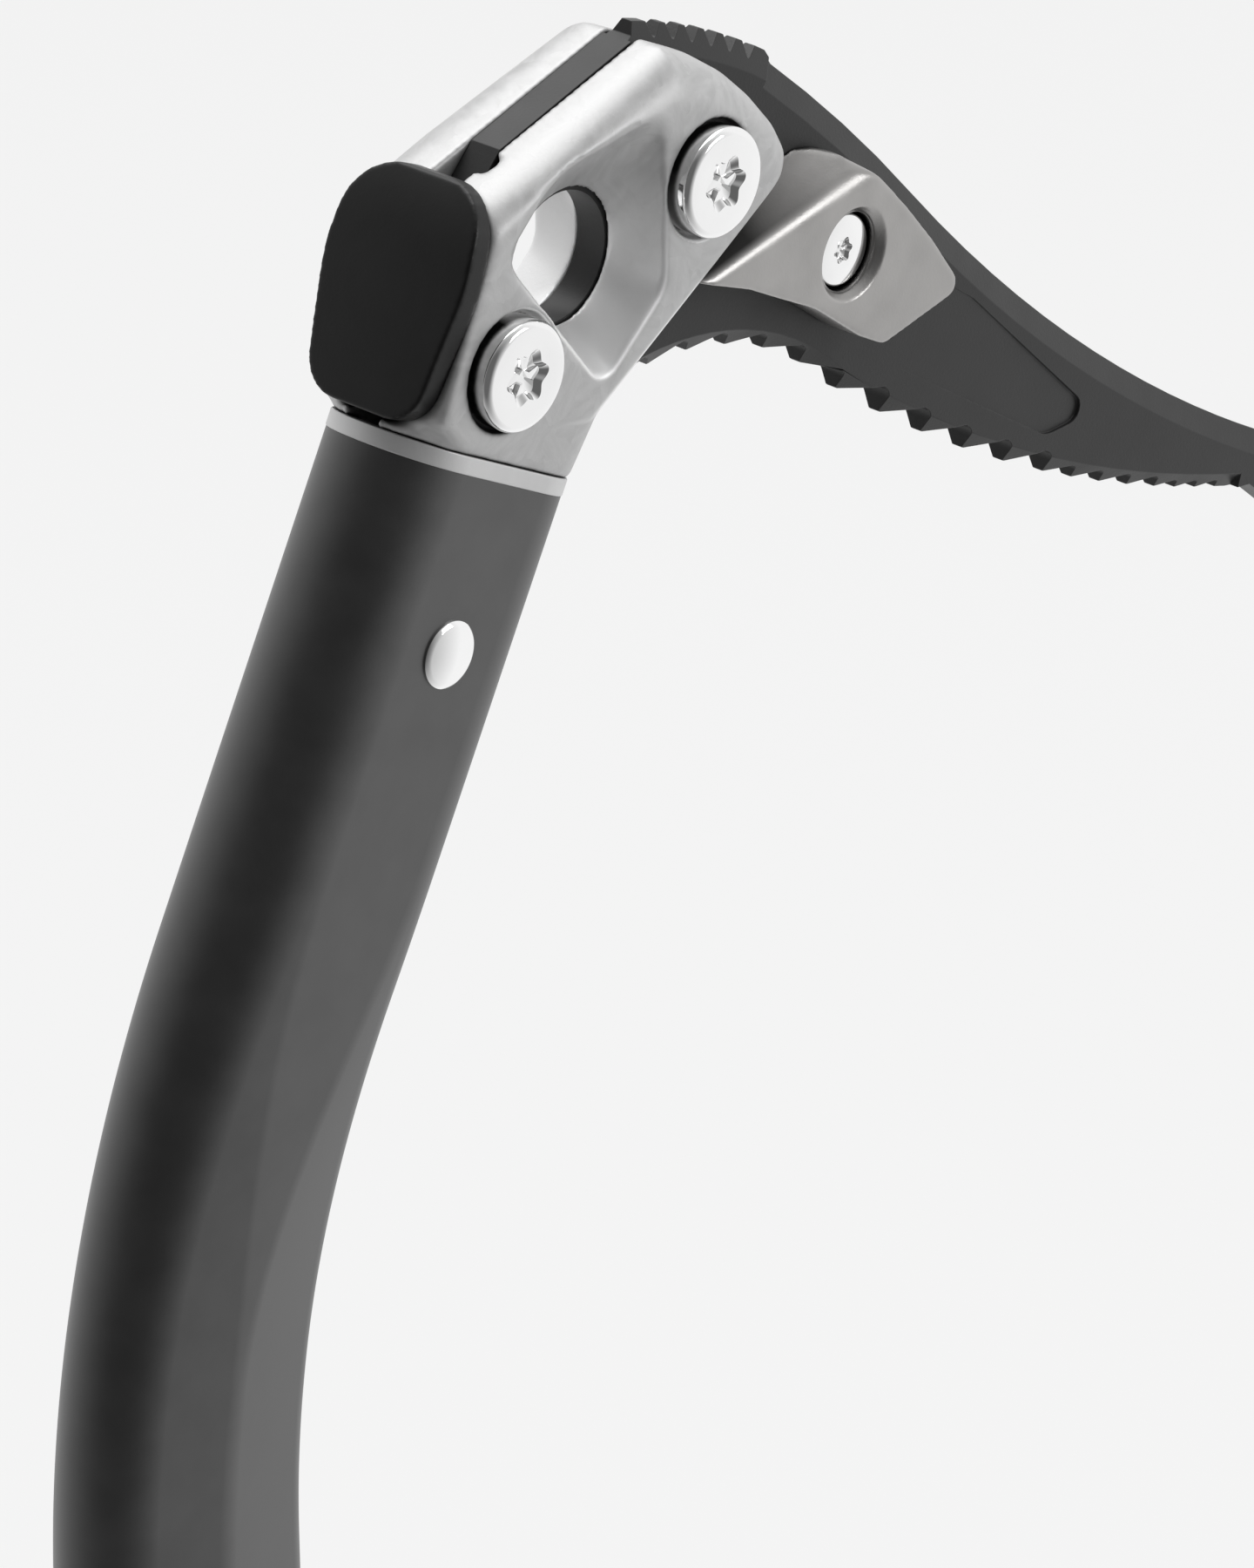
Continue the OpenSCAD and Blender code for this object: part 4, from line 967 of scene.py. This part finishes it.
def step_down(bm, edges, drop, scale):
    """Extrude a loop of edges down by a drop in mm and scale it; returns the new edges."""
    new = bmesh.ops.extrude_edge_only(bm, edges=edges)["geom"]
    verts = of_kind(new, bmesh.types.BMVert)
    bmesh.ops.scale(bm, vec=(scale, scale, 1), verts=verts)
    bmesh.ops.translate(bm, vec=(0, 0, -drop * MM), verts=verts)
    return of_kind(new, bmesh.types.BMEdge)


def with_turns(edges):
    """Each vertex of some edges, with its angle round Z."""
    verts = {vert for edge in edges for vert in edge.verts}
    return [(vert, math.atan2(vert.co.y, vert.co.x)) for vert in verts]


def turned_bolt(shank, length, head, height, edge, socket):
    """A bolt on Z: its seat at 0, its head above and its shank below, sizes in mm."""
    bm = bmesh.new()
    spun(bm, [(TIP_R, -length), (shank, -length), (shank, 0), (head, 0)] + rounded_edge(head, height, edge)
         + [(socket * FACE_STOP, height)])
    bmesh.ops.recalc_face_normals(bm, faces=bm.faces)
    lobes = step_down(bm, open_edges_near(bm, height), 0, 1)
    for vert, turn in with_turns(lobes):
        reach = socket * (LOBE_MEAN + LOBE_SWING * math.cos(LOBES * turn))
        vert.co = Vector((reach * math.cos(turn), reach * math.sin(turn), height)) * MM
    walls = step_down(bm, lobes, height * WALL_DROP, WALL_SCALE)
    floor_ring = step_down(bm, walls, height * FLOOR_DROP, FLOOR_SCALE)
    for vert, turn in with_turns(floor_ring):
        vert.co.z += FLOOR_SWING * height * MM * math.copysign(1, math.cos(FLOOR_WAVES * turn + FLOOR_TURN))
    bmesh.ops.holes_fill(bm, edges=floor_ring, sides=0)
    bmesh.ops.holes_fill(bm, edges=open_edges_near(bm, -length), sides=0)
    bmesh.ops.recalc_face_normals(bm, faces=bm.faces)
    return bm


def place_across(bm, seat):
    """Turn a bolt's axis to -Y, towards the near side, and put its seat at a point in mm."""
    turn = Matrix.Rotation(math.radians(90), 4, "X")
    bmesh.ops.transform(bm, matrix=Matrix.Translation(Vector(seat) * MM) @ turn, verts=bm.verts)
    return bm


print("turning helpers ready")

# %% [markdown]
# Five bolts and screws hold the tool together, in four sizes. Each has the sizes and the seat of its
# solid, so it sits where the solid does. Each could be dressed from its own solid instead, but one
# function with named sizes keeps them alike.

# %% Make the bolts and screws
PICK_BOLT = dict(shank=3.0, length=17.5, head=6.1, height=3.6, edge=0.8, socket=3.2)
WEIGHT_SCREW = dict(shank=2.5, length=12.2, head=4.2, height=2.2, edge=0.35, socket=1.55)
FINGER_SCREW = dict(shank=2.0, length=23.9, head=3.9, height=2.0, edge=0.45, socket=2.0)
CLAMP_BOLT = dict(shank=2.5, length=23.4, head=4.9, height=2.5, edge=0.55, socket=2.5)
FINGER_DROP = 10
finger_at = on_handle(FINGER_DROP)
clamp_at = on_handle(CLAMP_DROP)
BOLTS = (
    ("upper_pick_bolt", PICK_BOLT, PICK_BOLTS_AT[0], -8.0),
    ("lower_pick_bolt", PICK_BOLT, PICK_BOLTS_AT[1], -8.0),
    ("weight_screw", WEIGHT_SCREW, SCREW_AT, -4.2),
    ("finger_rest_screw", FINGER_SCREW, (finger_at.x, finger_at.z), -10.95),
    ("hand_rest_bolt", CLAMP_BOLT, (clamp_at.x, clamp_at.z), -10.45),
)
for node, sizes, (x, z), seat_y in BOLTS:
    bm = place_across(turned_bolt(**sizes), (x, seat_y, z))
    flat_faces(as_piece(node, bm, sharp=22))
    low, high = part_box(node)
    print(node, "solid from", [round(v, 4) for v in low], "to", [round(v, 4) for v in high])

# %% [markdown]
# ## Rivets
# A rivet is a bar with a low dome at each end. The whole profile is spun at once, with a short straight
# side under each dome, and merging the points on the axis closes the domes. A squashed sphere on a
# cylinder would look alike, but it would be two shapes pushed into each other.

# %% Make the rivets
SHAFT_RIVET_R = 3.0
SPIKE_RIVET_R = 2.5
RIVET_HEAD = 1.25
RIM_SHARE = 0.1
SIDE_OF_RIM = 0.6
DOME_SHARE = 0.16
DOME_STEPS = 12
RIVET_DROP = 18.7
SPIKE_RIVET_DROPS = (160, 168)


def dome_rivet(bm, shank, place):
    """A rivet through the shaft at a point in mm, with domes at both ends, added to a bmesh."""
    head = shank * RIVET_HEAD
    rim = head * RIM_SHARE
    seat = SHAFT_WIDE / 2
    half = [(shank, 0), (shank, seat), (head, seat), (head, seat + rim * SIDE_OF_RIM)]
    for k in range(1, DOME_STEPS + 1):
        left = 1 - k / DOME_STEPS
        half.append((head * left, seat + rim + head * DOME_SHARE * (1 - left ** 2)))
    rivet = bmesh.new()
    spun(rivet, [(radius, -height) for radius, height in reversed(half[1:])] + half)
    bmesh.ops.remove_doubles(rivet, verts=rivet.verts, dist=TOUCHING * MM)
    bmesh.ops.recalc_face_normals(rivet, faces=rivet.faces)
    place_across(rivet, place)
    mesh = bpy.data.meshes.new("rivet")
    rivet.to_mesh(mesh)
    rivet.free()
    bm.from_mesh(mesh)
    bpy.data.meshes.remove(mesh)


rivet_at = Vector((shaft_top.x, 0, shaft_top.y)) + down_shaft * RIVET_DROP
bm = bmesh.new()
dome_rivet(bm, SHAFT_RIVET_R, rivet_at)
flat_faces(as_piece("shaft_rivet", bm, sharp=40))
bm = bmesh.new()
for drop in SPIKE_RIVET_DROPS:
    dome_rivet(bm, SPIKE_RIVET_R, on_handle(drop))
flat_faces(as_piece("spike_rivets", bm, sharp=40))
print("rivets at", [round(v, 2) for v in rivet_at])

# %% [markdown]
# ## Collar, nuts and spike
# The collar is turned, the nuts are pressed and the spike is cut from plate, so they keep their flat
# faces and get narrow bevels. The plug is a plain moulding inside the shaft's end. A Bevel modifier
# would do much the same, but here the lines inside a flat face are dissolved first, so that no bevel
# runs along them.

# %% Make the collar, the nuts and the spike
BEVELS = {
    "collar": 0.18, "upper_pick_nut": 0.25, "lower_pick_nut": 0.25, "weight_nut": 0.2,
    "finger_rest_nut": 0.2, "hand_rest_nut": 0.2, "spike": 0.5, "spike_plug": 0.2,
}
for node, width in BEVELS.items():
    bm = copied(node)
    bevelled(bm, width, segments=3, low=25)
    flat_faces(as_piece(node, bm, sharp=40))
print("bevelled:", ", ".join(BEVELS))

# %% [markdown]
# ## Rests
# The two rests are moulded, so all their edges are round. An even skin that is smoothed all over gives
# that in one step, where bevels would meet in awkward corners.

# %% Make the rests
REST_VOXELS = {"finger_rest": 0.4, "hand_rest": 0.45}
MOULDED_PASSES = 8

for node, voxel in REST_VOXELS.items():
    bm = even_skin(copied(node), voxel)
    soften(bm, MOULDED_PASSES)
    print("skin for", as_piece(node, bm, sharp=60).name)

# %% [markdown]
# ## Grip and pad
# The grip is a soft rubber sleeve with ribs for the hand. The ribs are real relief: the skin is first
# made even and smooth, then each point sinks along its normal where a groove runs. A displacement
# texture could do that too, but a formula keeps the grooves at equal distances along the handle.

# %% Make the grip and the pad
GRIP_VOXEL = 0.53
GRIP_PASSES = 6
GRIP_TOP = 18.5
GRIP_LEN = 98
PLAIN_END = 7
END_FADE = 3
INNER_WALL = 1.2
RIB_STEP = 4.2
RIB_GROOVE = 1.6
RIB_DEPTH = 0.7
CHEVRON = 0.45
PAD_VOXEL = 0.25
PAD_PASSES = 4
PAD_STEP = 2.6
PAD_GROOVE = 1.0
PAD_DEPTH = 0.45
FACES_UP = -0.4


def groove_share(run, step, width):
    """How deep in a groove a run along the handle lies, from 0 to 1."""
    off = abs(run / step - round(run / step)) * step
    return 1 - eased((off - width / 4) / (width / 2))


def sink_grooves(bm, depth_at):
    """Sink every vertex along its normal by a depth in mm that depends on its place on the handle."""
    bm.normal_update()
    moves = []
    for vert in bm.verts:
        offset = vert.co / MM - handle_start
        drop = offset.dot(handle_down)
        front = offset.x * math.cos(GRIP_LEAN) + offset.z * math.sin(GRIP_LEAN)
        moves.append(vert.normal * depth_at(drop, front, offset.y, vert.normal) * MM)
    for vert, move in zip(bm.verts, moves):
        vert.co -= move


def grip_depth(drop, front, side, normal):
    """Chevron grooves all round, none at the ends or on the inner wall."""
    inner = math.hypot(max(abs(front) - HALF_FLAT, 0), side) < SHAFT_WIDE / 2 + INNER_WALL
    run = drop - GRIP_TOP
    if inner or run < PLAIN_END or run > GRIP_LEN - PLAIN_END:
        return 0
    ends = eased((run - PLAIN_END) / END_FADE) * eased((GRIP_LEN - PLAIN_END - run) / END_FADE)
    return RIB_DEPTH * ends * groove_share(run + CHEVRON * abs(front), RIB_STEP, RIB_GROOVE)


def pad_depth(drop, front, side, normal):
    """Straight grooves across the pad's upper face."""
    if normal.dot(handle_down) >= FACES_UP:
        return 0
    return PAD_DEPTH * groove_share(front, PAD_STEP, PAD_GROOVE)


for node, voxel, passes, depth_at in (("grip", GRIP_VOXEL, GRIP_PASSES, grip_depth),
                                      ("hand_rest_pad", PAD_VOXEL, PAD_PASSES, pad_depth)):
    bm = even_skin(copied(node), voxel)
    soften(bm, passes)
    sink_grooves(bm, depth_at)
    soften(bm, 1)
    rubber = as_piece(node, bm, sharp=60)
    print(node, "skin:", len(rubber.data.polygons), "faces")
